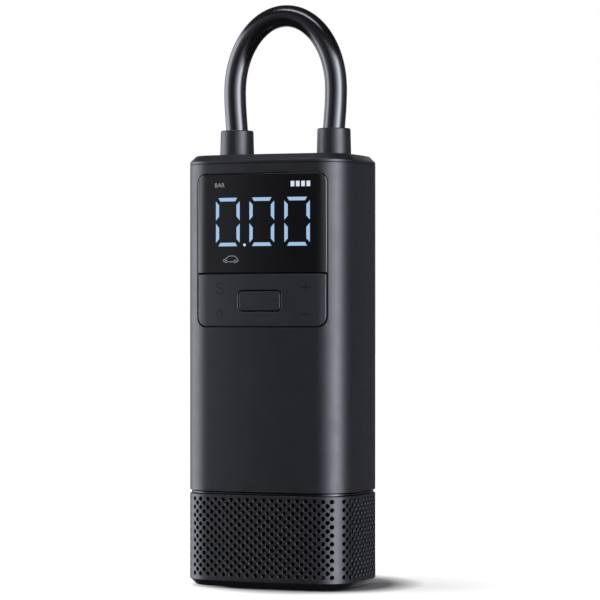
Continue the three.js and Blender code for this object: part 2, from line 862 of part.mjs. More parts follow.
function frontCarrier() {
  const z0 = panelZ - carrierLapBelow;
  const z1 = panelTop + carrierLapAbove;
  const outline = roundedShape(carrierWidth, z1 - z0, panelCorner, panelCorner);
  const inner = innerInset + carrierThickness;
  const shell = frontShell([innerInset, inner], [z0 - cutOverrun, z1 + cutOverrun], outline,
    (z0 + z1) / 2, plainSteps);
  const guideHole = roundedShape(guideWidth + 2 * seatGap, guideHeight + 2 * seatGap, panelBreak, panelBreak);
  const keyHole = roundedShape(matWidth + 2 * runGap, matHeight + 2 * runGap, panelCorner, panelCorner);
  const bosses = boardScrewPlaces().map((place) => {
    return pinY(carrierBossWidth, place, [boardY - 3 * carrierThickness, boardY - seatGap], 8);
  });
  const rim = sectionBlock([[inner - seatGap, z0 - cutOverrun], [inner - seatGap, z1 + cutOverrun]], plainSteps);
  const holes = boardScrewPlaces().map((place) => {
    return pinY(boardScrewShank + 2 * seatGap, place, [boardY - 2 * carrierThickness, boardY], 6);
  });
  return cut(
    join(shell, ...bosses.map((boss) => boss.intersect(rim))),
    plateY(guideHole, [0, guideMiddle()], [frontY - cutOverrun, boardY + cutOverrun]),
    plateY(keyHole, [0, buttonZ], [frontY - cutOverrun, boardY + cutOverrun]),
    ...holes,
  );
}

function guideMiddle() {
  return windowZ + windowHeight / 2;
}

function lightGuide() {
  const shape = roundedShape(guideWidth, guideHeight, panelBreak, panelBreak);
  return plateY(shape, [0, guideMiddle()], [boardY - seatGap - guideThickness, boardY - seatGap], 1);
}

function boardScrewPlaces() {
  const x = frontBoardWidth / 2 - boardScrewInset;
  const [z0, z1] = frontBoardSpan();
  const places = [];
  for (const z of [z0 + boardScrewRise, z1 - boardScrewRise]) places.push([-x, z], [x, z]);
  return places;
}

function frontBoardSpan() {
  return [panelZ - carrierLapBelow, panelTop];
}

function frontBoard() {
  const [z0, z1] = frontBoardSpan();
  const board = block([-frontBoardWidth / 2, frontBoardWidth / 2], [boardY, boardY + boardThickness], [z0, z1]);
  const switches = [...keyPlaces(), [0, buttonZ]].map(tactSwitch);
  return cut(join(board, ...switches), ...boardScrewPlaces().map((place) => {
    return pinY(boardScrewShank + 2 * seatGap, place,
      [boardY - cutOverrun, boardY + boardThickness + cutOverrun], 6);
  }));
}

function boardScrew([x, z]) {
  const back = boardY + boardThickness + seatGap;
  const tip = boardY - 2 * carrierThickness + seatGap;
  return join(
    pinY(boardScrewHead, [x, z], [back, back + boardScrewHeadHeight], 6),
    pinY(boardScrewShank, [x, z], [tip, back + boardScrewHeadHeight / 2], 6),
  );
}

// A push switch soldered on the front board
function tactSwitch([x, z]) {
  const half = switchWidth / 2;
  return join(
    block([x - half, x + half], [boardY - switchHeight, boardY + boardThickness / 2], [z - half, z + half]),
    pinY(switchPlunger, [x, z], [plungerY, boardY], 6),
  );
}

// Inner frame, battery and boards

function innerFrame() {
  const deck = sectionBlock([[innerInset, deckZ], [innerInset, deckTop]], plainSteps);
  const upper = sectionBlock([[innerInset, upperDeckZ], [innerInset, upperDeckTop]], plainSteps);
  const behindWeb = block([-bodyWidth, bodyWidth], [webY - webThickness, bodyDepth], [deckZ, capTop]);
  const half = 1.5 * cellPitch + seatGap + webThickness;
  const web = block([-half, half], [webY - webThickness, webY], [deckZ, upperDeckTop]);
  const sides = [-1, 1].map((side) => {
    const x = [side * (half - webThickness), side * half].sort((a, b) => a - b);
    return block(x, [webY - webThickness, cellBack - frameSideShort], [deckZ, upperDeckTop]);
  });
  const standoffs = [-1, 1].map((side) => {
    return post(carrierBossWidth, [side * (chargeBoardWidth - carrierBossWidth) / 2, cellY],
      [upperDeckZ, chargeZ - seatGap], 10);
  });
  const boreRoom = 2 * (wellRadius + wellWall + seatGap);
  const wellRoom = post(boreRoom, [hoseX, hoseY], [upperDeckTop, capTop]);
  const outletRoom = post(innerTube + 2 * runGap, [cylinderX, outletY], [deckZ - cutOverrun, deckTop + cutOverrun], 12);
  const sensorRoom = post(barbWidth + 2 * runGap, [sensorX, outletY], [deckZ - cutOverrun, deckTop + cutOverrun], 10);
  const tubeRoom = block([-hoseX - tubeDoor / 2, -hoseX + tubeDoor / 2],
    [webY - webThickness - cutOverrun, hoseY + innerTube], [upperDeckTop - deckThickness - innerTube, capTop]);
  const frame = join(deck, upper.intersect(behindWeb), web, ...sides, ...standoffs);
  return cut(frame, wellRoom, outletRoom, sensorRoom, tubeRoom);
}

function cellPlaces() {
  return Array.from({ length: cellCount }, (_, i) => (i - (cellCount - 1) / 2) * cellPitch);
}

function batteryCell(x) {
  const radius = cellDiameter / 2;
  const nub = cellNub / 2;
  return turned([
    [0, cellZ],
    [radius, cellZ],
    [radius, cellTop - cellNubHeight],
    [radius - cellShoulder, cellTop - cellNubHeight],
    [nub, cellTop - cellNubHeight],
    [nub, cellTop],
    [0, cellTop],
  ], [x, cellY], 12);
}

function cellLink(z) {
  const half = cellPitch + linkWidth / 2;
  return block([-half, half], [cellY - linkWidth / 2, cellY + linkWidth / 2], [z, z + linkThickness]);
}

function mainBoard() {
  const z0 = deckTop + seatGap;
  const z1 = upperDeckZ - seatGap;
  const back = mainBoardY + mainBoardThickness;
  const board = block([-mainBoardWidth / 2, mainBoardWidth / 2], [mainBoardY, back], [z0, z1]);
  const chips = [-1, 0, 1].map((step) => {
    const z = (z0 + z1) / 2 + step * 2 * chipWidth;
    return block([-chipWidth / 2, chipWidth / 2], [back - mainBoardThickness / 2, back + chipHeight],
      [z - chipWidth / 2, z + chipWidth / 2]);
  });
  return join(board, ...chips);
}

// The charging board carries the lamp's LED under the light pipe
function chargeBoard() {
  const half = ledWidth / 2;
  return join(
    block([-chargeBoardWidth / 2, chargeBoardWidth / 2],
      [boardY + boardThickness + chargeBoardFrontRoom, portBack - seatGap], [chargeZ, chargeTop]),
    block([-half, half], [hoseY - half, hoseY + half], [chargeZ, chargeTop + ledHeight]),
  );
}

function usbPort() {
  const z = portZ + portHeight / 2;
  const round = (width, height) => roundedShape(width, height, height / 2 - portWall, height / 2 - portWall);
  const shell = plateY(round(portWidth, portHeight), [0, z], [portBack - portDepth, portBack]);
  const mouth = plateY(round(portWidth - 2 * portWall, portHeight - 2 * portWall), [0, z],
    [portBack - portDepth + cutOverrun, portBack + cutOverrun]);
  const tongueHalf = portWidth / 2 - portHeight / 2;
  const tongue = block([-tongueHalf, tongueHalf], [portBack - portDepth + portWall, portBack - portDepth + portTongueDepth],
    [z - portTongue / 2, z + portTongue / 2]);
  return join(cut(shell, mouth), tongue);
}

function lampOutline(length, width) {
  return roundedShape(length, width, width / 2, width / 2);
}

function lampLens() {
  const flangeZ1 = capTop - capPlate - seatGap;
  const stem = block([-lampStemLength / 2, lampStemLength / 2], [hoseY - lampStemWidth / 2, hoseY + lampStemWidth / 2],
    [chargeTop + seatGap + ledHeight, capTop - capPlate]);
  return join(
    plateZ(lampOutline(lampLength, lampWidth), [0, hoseY], [flangeZ1 - lampFlange, capTop - lampDepth]),
    plateZ(lampOutline(lampLength + 2 * lampFlange, lampWidth + 2 * lampFlange), [0, hoseY],
      [flangeZ1 - lampFlange, flangeZ1]),
    stem,
  );
}


// Pump

// A spur gear outline with trapezoid teeth about the origin
function gearShape(teeth, thin) {
  const pitchRadius = toothModule * teeth / 2;
  const tip = pitchRadius + toothModule;
  const root = pitchRadius - toothModule - gearSlack;
  const step = 2 * Math.PI / teeth;
  const points = [];
  for (let tooth = 0; tooth < teeth; tooth++) {
    const middle = tooth * step;
    for (const [radius, share] of toothShares(root, tip, thin)) {
      const angle = middle + share * step;
      points.push(new THREE.Vector2(radius * Math.cos(angle), radius * Math.sin(angle)));
    }
  }
  return new THREE.Shape(points);
}

function toothShares(root, tip, thin) {
  const rootShare = 0.33 - thin;
  const tipShare = 0.12 - thin / 2;
  return [[root, -rootShare], [tip, -tipShare], [tip, tipShare], [root, rootShare]];
}

function gearDisc(shape, [y, z], [x0, x1], turn) {
  const options = { depth: x1 - x0, bevelEnabled: false, curveSegments: 6 };
  const geometry = new THREE.ExtrudeGeometry(shape, options);
  geometry.rotateZ(turn);
  geometry.rotateX(Math.PI / 2);
  geometry.rotateZ(Math.PI / 2);
  geometry.translate(x0, y, z);
  return solidOf(geometry);
}

function driveGear() {
  const shape = gearShape(gearTeeth, 0);
  const disc = gearDisc(shape, [crankY, crankZ], [gearX, gearX + gearWidth], motorTurn);
  const bore = pinX(crankAxle + 2 * seatGap, [crankY, crankZ], [gearX - cutOverrun, webX + cutOverrun], 12);
  return cut(disc, bore);
}

function motorPinion() {
  const shape = gearShape(pinionTeeth, 0);
  const half = Math.PI / pinionTeeth;
  const disc = gearDisc(shape, [motorY, motorZ], [gearX, gearX + gearWidth], motorTurn + half);
  const bore = pinX(motorShaft + 2 * seatGap, [motorY, motorZ], [gearX - cutOverrun, webX + cutOverrun], 8);
  return cut(disc, bore);
}

function motorShaftRod() {
  return pinX(motorShaft, [motorY, motorZ], [motorBack - motorCapLength, gearX + gearWidth], 10);
}

function motorCan() {
  const nose = motorFront + motorNoseLength;
  const hole = motorShaft / 2 + seatGap;
  const can = turnedX([
    [hole, motorBack],
    [motorDiameter / 2, motorBack],
    [motorDiameter / 2, motorFront - motorNoseLength],
    [motorDiameter / 2 - motorNoseLength, motorFront],
    [motorNose / 2, motorFront],
    [motorNose / 2, nose],
    [hole, nose],
    [hole, motorBack],
  ], [motorY, motorZ], 14);
  return cut(can, ...motorScrewPlaces().map((place) => {
    return pinX(motorScrewShank + 2 * seatGap, place, [motorFront - motorScrewDepth - seatGap, motorFront + cutOverrun], 6);
  }));
}

function motorScrewPlaces() {
  return [-1, 1].map((side) => {
    const angle = motorTurn + side * Math.PI / 2;
    return [motorY + motorScrewSpread * Math.cos(angle), motorZ + motorScrewSpread * Math.sin(angle)];
  });
}

function motorEndCap() {
  const front = motorBack - seatGap;
  const back = front - motorCapLength;
  const hole = motorShaft / 2 + seatGap;
  return turnedX([
    [hole, back - motorTail],
    [motorNose / 2, back - motorTail],
    [motorNose / 2, back],
    [motorDiameter / 2 - motorTail, back],
    [motorDiameter / 2 - seatGap, back + motorTail],
    [motorDiameter / 2 - seatGap, front],
    [hole, front],
    [hole, back - motorTail],
  ], [motorY, motorZ], 14);
}

function motorScrew([y, z]) {
  const head = plateRight + seatGap;
  return join(
    pinX(motorScrewHead, [y, z], [head, head + motorScrewHeadHeight], 6),
    pinX(motorScrewShank, [y, z], [motorFront - motorScrewDepth, head + motorScrewHeadHeight / 2], 6),
  );
}

function pumpFrame() {
  const top = pumpFlangeTop;
  const front = crankY - cylinderRadius;
  const shape = new THREE.Shape();
  shape.moveTo(front, footZ);
  shape.lineTo(footBack, footZ);
  shape.lineTo(footBack, motorZ + motorNose);
  shape.lineTo(crankY + cylinderRadius, top);
  shape.lineTo(front, top);
  const plate = plateX(shape, [pumpPlateX, plateRight]);
  const boss = pinX(bearingBossWidth, [crankY, crankZ], [gearBearingX(), plateRight], 12);
  const flange = join(
    block([pumpPlateX, cylinderX], [front, crankY + cylinderRadius], [top - flangeThickness, top]),
    post(2 * pumpReach, [cylinderX, crankY], [top - flangeThickness, top], 14),
  );
  const foot = block([pumpPlateX, pumpPlateX + footReach], [front, footBack], [footZ, footZ + footThickness]);
  const [by, bz] = [crankY, crankZ];
  return cut(
    join(plate, boss, flange, foot),
    pinX(gearBearingWidth + 2 * seatGap, [by, bz], [gearBearingX() - cutOverrun, gearBearingEnd() + seatGap], 12),
    pinX(crankAxle + 2 * runGap, [by, bz], [gearBearingX(), plateRight + cutOverrun], 12),
    pinX(motorNose + 2 * seatGap, [motorY, motorZ], [pumpPlateX - cutOverrun, plateRight + cutOverrun], 14),
    ...motorScrewPlaces().map((place) => {
      return pinX(motorScrewShank + 2 * seatGap, place, [pumpPlateX - cutOverrun, plateRight + cutOverrun], 6);
    }),
    post(2 * cylinderBoreRadius + seatGap, [cylinderX, crankY], [pistonBase - stroke - seatGap, top + cutOverrun], 16),
    ...grommetPlaces().map((place) => {
      return post(pumpScrew + 2 * seatGap, place, [footZ - cutOverrun, footZ + footThickness + cutOverrun], 6);
    }),
  );
}

function gearBearingX() {
  return plateRight - gearBearingLength - 2 * seatGap - pumpPlate / 2;
}

function gearBearingEnd() {
  return gearBearingX() + gearBearingLength;
}

function gearBearing() {
  const x0 = gearBearingX() + seatGap;
  return cut(
    pinX(gearBearingWidth, [crankY, crankZ], [x0, x0 + gearBearingLength - seatGap], 12),
    pinX(gearBearingBore, [crankY, crankZ], [x0 - cutOverrun, x0 + gearBearingLength + cutOverrun], 10),
  );
}

function grommetPlaces() {
  const x = plateRight + (pumpPlateX + footReach - plateRight) / 2;
  return [[x, crankY - cylinderRadius + grommetWidth], [x, footPadY]];
}

function pumpGrommet(place) {
  return cut(
    post(grommetWidth, place, [grommetZ, grommetZ + grommetHeight], 12),
    post(pumpScrew + 2 * seatGap, place, [grommetZ - cutOverrun, grommetZ + grommetHeight + cutOverrun], 6),
  );
}

function pumpScrewSolid(place) {
  const head = footZ + footThickness + seatGap;
  return join(
    post(pumpScrewHead, place, [head, head + pumpScrewHeadHeight], 6),
    post(pumpScrew, place, [grommetZ, head + pumpScrewHeadHeight / 2], 6),
  );
}

function crankShaft() {
  const axleStart = gearBearingX();
  const pinZ = crankZ + crankRadius;
  return join(
    pinX(crankAxle, [crankY, crankZ], [axleStart, webX + crankWebThickness / 2], 12),
    pinX(crankWeb, [crankY, crankZ], [webX, webX + crankWebThickness], 14),
    pinX(crankPin, [crankY, pinZ], [webX + crankWebThickness / 2, rodX + rodWidth + runGap], 12),
  );
}

function connectingRod() {
  const pinZ = crankZ + crankRadius;
  const x = [rodX, rodX + rodWidth];
  const shank = new THREE.Shape();
  shank.moveTo(crankY - rodShank / 2, pinZ);
  shank.lineTo(crankY + rodShank / 2, pinZ);
  shank.lineTo(crankY + rodSmallEye / 4, wristZ);
  shank.lineTo(crankY - rodSmallEye / 4, wristZ);
  return cut(
    join(pinX(rodBigEye, [crankY, pinZ], x), pinX(rodSmallEye, [crankY, wristZ], x), plateX(shank, x)),
    pinX(crankPin + 2 * seatGap, [crankY, pinZ], [rodX - cutOverrun, rodX + rodWidth + cutOverrun], 12),
    pinX(wristPin + 2 * seatGap, [crankY, wristZ], [rodX - cutOverrun, rodX + rodWidth + cutOverrun], 12),
  );
}

function wristPinRod() {
  return pinX(wristPin, [crankY, wristZ], [cylinderX - wristPinLength / 2, cylinderX + wristPinLength / 2], 12);
}

function piston() {
  const outer = pistonDiameter / 2;
  const inner = outer - pistonWall;
  const ringTop = pistonTop - pistonRingDrop;
  const ringZ = ringTop - pistonRing;
  return turned([
    [0, pistonInnerTop],
    [inner, pistonInnerTop],
    [inner, pistonBase],
    [outer, pistonBase],
    [outer, ringZ],
    [outer - pistonRingDepth, ringZ],
    [outer - pistonRingDepth, ringTop],
    [outer, ringTop],
    [outer, pistonTop],
    [0, pistonTop],
  ], [cylinderX, crankY], 14);
}

function pistonSeal() {
  const outer = pistonDiameter / 2 + pistonRingGap;
  const inner = pistonDiameter / 2 - pistonRingDepth + pistonRingGap;
  const z1 = pistonTop - pistonRingDrop - pistonRingGap;
  const z0 = pistonTop - pistonRingDrop - pistonRing + pistonRingGap;
  return turnedRing([[inner, z0], [outer, z0], [outer, z1], [inner, z1]], [cylinderX, crankY], 14);
}

function cylinder() {
  const profile = [[cylinderBoreRadius, cylinderZ], [cylinderRadius, cylinderZ]];
  const pitch = (cylinderTop - cylinderZ) / (finCount + 1);
  for (let fin = 1; fin <= finCount; fin++) {
    const z = cylinderZ + fin * pitch;
    profile.push([cylinderRadius, z - finThickness / 2], [pumpReach, z - finThickness / 2]);
    profile.push([pumpReach, z + finThickness / 2], [cylinderRadius, z + finThickness / 2]);
  }
  profile.push([cylinderRadius, cylinderTop], [cylinderBoreRadius, cylinderTop]);
  return turnedRing(profile, [cylinderX, crankY], 14);
}

function cylinderHead() {
  const cap = post(2 * cylinderRadius, [cylinderX, crankY], [headZ, headTop], 14);
  const tip = deckTop + seatGap + barbSeat;
  const outlet = post(barbWidth, [cylinderX, outletY], [headZ + headHeight / 2, tip], 10);
  const sensorTip = post(barbWidth, [sensorX, outletY], [headZ + headHeight / 2, tip], 8);
  const outletBore = post(barbBore, [cylinderX, outletY], [headZ - cutOverrun, tip + cutOverrun], 6);
  return cut(join(cap, outlet, sensorTip), outletBore);
}

function pressureSensor() {
  const z0 = deckTop + seatGap;
  const half = sensorWidth / 2;
  return cut(
    block([sensorX - half, sensorX + half - seatGap], [outletY - half, outletY + half], [z0, z0 + sensorHeight]),
    post(barbWidth + 2 * seatGap, [sensorX, outletY], [z0 - cutOverrun, deckTop + barbSeat + 2 * seatGap], 8),
  );
}

// The inner air line climbs in front of the cells and crosses to the hose's fixed root
function outletTube() {
  const low = deckTop + seatGap;
  const rise = upperDeckZ - low;
  const top = capTop - capPlate - seatGap - fittingFlangeHeight - fittingReach + barbSeat;
  const points = [
    [cylinderX, outletY, low],
    [cylinderX, outletY, low + barbSeat],
    [cylinderX, outletY, low + 2 * barbSeat],
    [cylinderX / 2, outletY, low + rise / 2],
    [-hoseX / 2, outletY, low + 3 * rise / 5],
    [-hoseX, outletY, low + 4 * rise / 5],
    [-hoseX, outletY, upperDeckZ - innerTube],
    [-hoseX, hoseY, top - 2 * barbSeat],
    [-hoseX, hoseY, top - barbSeat],
    [-hoseX, hoseY, top],
  ].map((point) => new THREE.Vector3(...point));
  return tube(new THREE.CatmullRomCurve3(points), innerTube, innerTubeBore, 14, 6, 6);
}

// Air hose

// Straight out of both collars, widening a little, then half an ellipse over the top
function hosePath() {
  const widest = hoseX + hoseSwell;
  const widestZ = capTop + hoseWidestRise;
  const topZ = capTop + hoseTopRise;
  const roundShare = 0.5523;
  const leadShare = 0.35;
  const lead = (widestZ - collarEnd) * leadShare;
  const point = (x, z) => new THREE.Vector3(x, hoseY, z);
  const half = (side) => [
    new THREE.LineCurve3(point(side * hoseX, hoseEnd), point(side * hoseX, collarEnd)),
    new THREE.CubicBezierCurve3(
      point(side * hoseX, collarEnd), point(side * (hoseX + widest) / 2, collarEnd + lead),
      point(side * widest, widestZ - lead), point(side * widest, widestZ)),
    new THREE.CubicBezierCurve3(
      point(side * widest, widestZ), point(side * widest, widestZ + roundShare * (topZ - widestZ)),
      point(side * widest * roundShare, topZ), point(0, topZ)),
  ];
  const path = new THREE.CurvePath();
  for (const curve of half(-1)) path.add(curve);
  for (const curve of half(1).reverse()) path.add(reversed(curve));
  return path;
}

function reversed(curve) {
  if (curve.isLineCurve3) return new THREE.LineCurve3(curve.v2, curve.v1);
  return new THREE.CubicBezierCurve3(curve.v3, curve.v2, curve.v1, curve.v0);
}

function airHose() {
  return tube(hosePath(), hoseDiameter, hoseBore, 22, 10, 6);
}

function collarProfile() {
  const hoseRoom = hoseDiameter / 2 + seatGap;
  return [
    [collarBase / 2, collarZ],
    [collarTop / 2, collarEnd - collarBreak],
    [collarTop / 2 - collarBreak, collarEnd],
    [hoseRoom, collarEnd],
  ];
}

function rootCollar() {
  const hoseRoom = hoseDiameter / 2 + seatGap;
  const hole = neck / 2 + seatGap;
  return turnedRing([
    [hole, collarZ],
    ...collarProfile(),
    [hoseRoom, collarZ + collarFloor],
    [hole, collarZ + collarFloor],
  ], [-hoseX, hoseY], 14);
}

function rootFitting() {
  const flangeTop = capTop - capPlate - seatGap;
  const flangeFoot = flangeTop - fittingFlangeHeight;
  const body = turned([
    [0, flangeFoot - fittingReach],
    [barbWidth / 2, flangeFoot - fittingReach],
    [barbWidth / 2, flangeFoot],
    [fittingFlange / 2, flangeFoot],
    [fittingFlange / 2, flangeTop],
    [neck / 2, flangeTop],
    [neck / 2, hoseEnd - seatGap],
    [barbWidth / 2, hoseEnd - seatGap],
    [barbWidth / 2, collarEnd - collarFloor],
    [0, collarEnd - collarFloor],
  ], [-hoseX, hoseY], 10);
  const bore = post(barbBore, [-hoseX, hoseY], [flangeFoot - fittingReach - cutOverrun, collarEnd], 6);
  return cut(body, bore);
}

function hoseBarb() {
  const flangeTop = chuckLipZ - seatGap;
  const flangeFoot = flangeTop - fittingFlangeHeight;
  const sealFoot = flangeFoot - seatGap - sealHeight;
  const tip = sealFoot - depressorTip;
  const flangeRadius = chuckBoreRadius - seatGap;
  return turned([
    [0, tip],
    [depressor / 2, tip],
    [depressor / 2, flangeFoot],
    [flangeRadius, flangeFoot],
    [flangeRadius, flangeTop],
    [neck / 2, flangeTop],
    [neck / 2, hoseEnd - seatGap],
    [barbWidth / 2, hoseEnd - seatGap],
    [barbWidth / 2, collarEnd - collarFloor],
    [0, collarEnd - collarFloor],
  ], [hoseX, hoseY], 10);
}

function chuckSleeve() {
  const hoseRoom = hoseDiameter / 2 + seatGap;
  return turnedRing([
    [chuckBoreRadius, chuckFoot],
    [chuckBody / 2, chuckFoot],
    [chuckBody / 2, collarZ],
    ...collarProfile(),
    [hoseRoom, hoseEnd - seatGap],
    [neck / 2 + seatGap, hoseEnd - seatGap],
    [neck / 2 + seatGap, chuckLipZ],
    [chuckBoreRadius, chuckLipZ],
  ], [hoseX, hoseY], 14);
}

function sealFootZ() {
  return chuckLipZ - seatGap - fittingFlangeHeight - seatGap - sealHeight;
}

function chuckSeal() {
  const z0 = sealFootZ();
  const outer = chuckBoreRadius - seatGap;
  const inner = depressor / 2 + seatGap;
  return turnedRing([[inner, z0], [outer, z0], [outer, z0 + sealHeight], [inner, z0 + sealHeight]],
    [hoseX, hoseY], 12);
}

function chuckInsert() {
  const top = sealFootZ() - seatGap;
  const outer = chuckBoreRadius - seatGap;
  const inner = valveBore / 2;
  return turnedRing([[inner, chuckFoot], [outer, chuckFoot], [outer, top], [inner, top]], [hoseX, hoseY], 14);
}

// Finishes

const finishes = {
  satinShell: [0x2d2e32, 0.42, 0.15],
  darkGroove: [0x141416, 0.6, 0],
  blackInside: [0x18181a, 0.7, 0],
  glassBlack: [0x0b0c0f, 0.08, 0],
  keyPlastic: [0x2a2b2e, 0.45, 0.1],
  rubber: [0x1a1a1b, 0.85, 0],
  hoseRubber: [0x0d0d0f, 0.25, 0],
  brass: [0xb08a45, 0.35, 0.9],
  steel: [0xa7aaae, 0.35, 0.9],
  alloy: [0xb9bcc0, 0.45, 0.85],
  board: [0x1d5a3a, 0.55, 0],
  clear: [0xe8ecf2, 0.15, 0],
  white: [0xe4e4e0, 0.6, 0],
  cellWrap: [0x2f6fb0, 0.45, 0],
};

function finish(name) {
  const [color, roughness, metalness] = finishes[name];
  return new THREE.MeshStandardMaterial({ color, roughness, metalness });
}

const inflator = new THREE.Group();

function add(name, solid, finishName) {
  const mesh = new THREE.Mesh(geometryOf(solid), finish(finishName));
  mesh.name = name;
  inflator.add(mesh);
}

function addEach(name, solids, finishName) {
  solids.forEach((solid, i) => add(`${name}_${i + 1}`, solid, finishName));
}

add('base_grille', baseGrille(), 'satinShell');
add('base_plate', basePlate(), 'blackInside');
add('rubber_sole', rubberSole(), 'rubber');
addEach('base_screw', baseScrewPlaces().map(baseScrew), 'steel');
add('waist_ring', waistRing(), 'darkGroove');
add('sleeve', sleeve(), 'satinShell');
add('top_cap', topCap(), 'satinShell');
add('display_window', displayWindow(), 'glassBlack');
add('key_plate', keyPlate(), 'keyPlastic');
add('start_button', startButton(), 'keyPlastic');
add('key_mat', keyMat(), 'rubber');
add('front_carrier', frontCarrier(), 'blackInside');
add('light_guide', lightGuide(), 'white');
add('front_board', frontBoard(), 'board');
addEach('board_screw', boardScrewPlaces().map(boardScrew), 'steel');
add('inner_frame', innerFrame(), 'blackInside');
addEach('battery_cell', cellPlaces().map(batteryCell), 'cellWrap');
add('cell_link_lower', cellLink(deckTop + seatGap), 'steel');
add('cell_link_upper', cellLink(cellTop + seatGap), 'steel');
add('main_board', mainBoard(), 'board');
add('charge_board', chargeBoard(), 'board');
add('usb_port', usbPort(), 'steel');
add('lamp_lens', lampLens(), 'clear');
add('pump_frame', pumpFrame(), 'alloy');
addEach('pump_grommet', grommetPlaces().map(pumpGrommet), 'rubber');
addEach('pump_screw', grommetPlaces().map(pumpScrewSolid), 'steel');
add('motor_can', motorCan(), 'steel');
add('motor_end_cap', motorEndCap(), 'blackInside');
addEach('motor_screw', motorScrewPlaces().map(motorScrew), 'steel');
add('motor_shaft', motorShaftRod(), 'steel');
add('motor_pinion', motorPinion(), 'brass');
add('drive_gear', driveGear(), 'white');
add('gear_bearing', gearBearing(), 'steel');
add('crank_shaft', crankShaft(), 'steel');
add('connecting_rod', connectingRod(), 'alloy');
add('wrist_pin', wristPinRod(), 'steel');
add('piston', piston(), 'alloy');
add('piston_seal', pistonSeal(), 'blackInside');
add('cylinder', cylinder(), 'alloy');
add('cylinder_head', cylinderHead(), 'alloy');
add('pressure_sensor', pressureSensor(), 'white');
add('outlet_tube', outletTube(), 'clear');
add('root_fitting', rootFitting(), 'brass');
add('hose_root_collar', rootCollar(), 'satinShell');
add('air_hose', airHose(), 'hoseRubber');
add('hose_barb', hoseBarb(), 'brass');
add('chuck_sleeve', chuckSleeve(), 'satinShell');
add('chuck_insert', chuckInsert(), 'brass');
add('chuck_seal', chuckSeal(), 'rubber');

export default inflator;
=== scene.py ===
"""A cordless tyre inflator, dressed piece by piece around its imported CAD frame."""

import json
import math

import bmesh
import bpy
from bpy.props import FloatProperty, FloatVectorProperty, IntProperty, PointerProperty
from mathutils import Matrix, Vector


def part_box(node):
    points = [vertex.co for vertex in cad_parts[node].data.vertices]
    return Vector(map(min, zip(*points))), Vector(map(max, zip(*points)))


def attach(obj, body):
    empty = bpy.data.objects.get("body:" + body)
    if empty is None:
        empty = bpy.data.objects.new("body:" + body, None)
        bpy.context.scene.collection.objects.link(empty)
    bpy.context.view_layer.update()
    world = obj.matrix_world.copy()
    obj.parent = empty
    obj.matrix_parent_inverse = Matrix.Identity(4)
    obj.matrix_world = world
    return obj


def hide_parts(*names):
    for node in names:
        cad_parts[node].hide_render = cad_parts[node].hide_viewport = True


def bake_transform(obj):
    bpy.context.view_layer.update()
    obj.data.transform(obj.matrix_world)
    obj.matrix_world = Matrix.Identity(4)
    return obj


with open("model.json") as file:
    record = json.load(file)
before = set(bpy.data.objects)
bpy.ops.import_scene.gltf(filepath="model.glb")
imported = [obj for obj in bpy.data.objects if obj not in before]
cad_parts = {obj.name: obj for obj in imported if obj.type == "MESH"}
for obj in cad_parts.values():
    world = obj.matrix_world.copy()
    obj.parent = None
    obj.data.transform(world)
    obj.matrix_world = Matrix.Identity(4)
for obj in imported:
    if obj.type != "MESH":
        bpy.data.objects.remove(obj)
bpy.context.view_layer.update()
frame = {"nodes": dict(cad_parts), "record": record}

bl_info = {
    "name": "Portable tire inflator",
    "version": (1, 0, 0),
    "blender": (4, 5, 0),
    "location": "View3D > Sidebar > Inflator",
    "description": "Builds the visible pieces of a cordless tyre inflator",
    "category": "Object",
}

MM = 0.001
QUARTER = math.pi / 2
# Corners nearer than this become one
WELD = 1e-6
# A place this near to a level counts as at the level
HAIR = 0.01 * MM
# Share of a slot's width that rounds its ends whole, short of meeting in the middle
FULL_ROUND = 0.4999
ROUND_STEPS = 10


def top_of(node):
    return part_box(node)[1][2]


def foot_of(node):
    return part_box(node)[0][2]


def front_of(node):
    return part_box(node)[0][1]


def middle_of(node):
    low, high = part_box(node)
    return [(start + end) / 2 for start, end in zip(low, high)]


# Sizes and colours that a user would change


def length(name, description, default):
    return FloatProperty(
        name=name, description=description, default=default, min=0.0, subtype="DISTANCE", unit="LENGTH"
    )


def steps(name, description, default):
    return IntProperty(name=name, description=description, default=default, min=8)


def colour(name, description, default):
    return FloatVectorProperty(
        name=name, description=description, default=default, size=4, min=0.0, max=1.0, subtype="COLOR"
    )


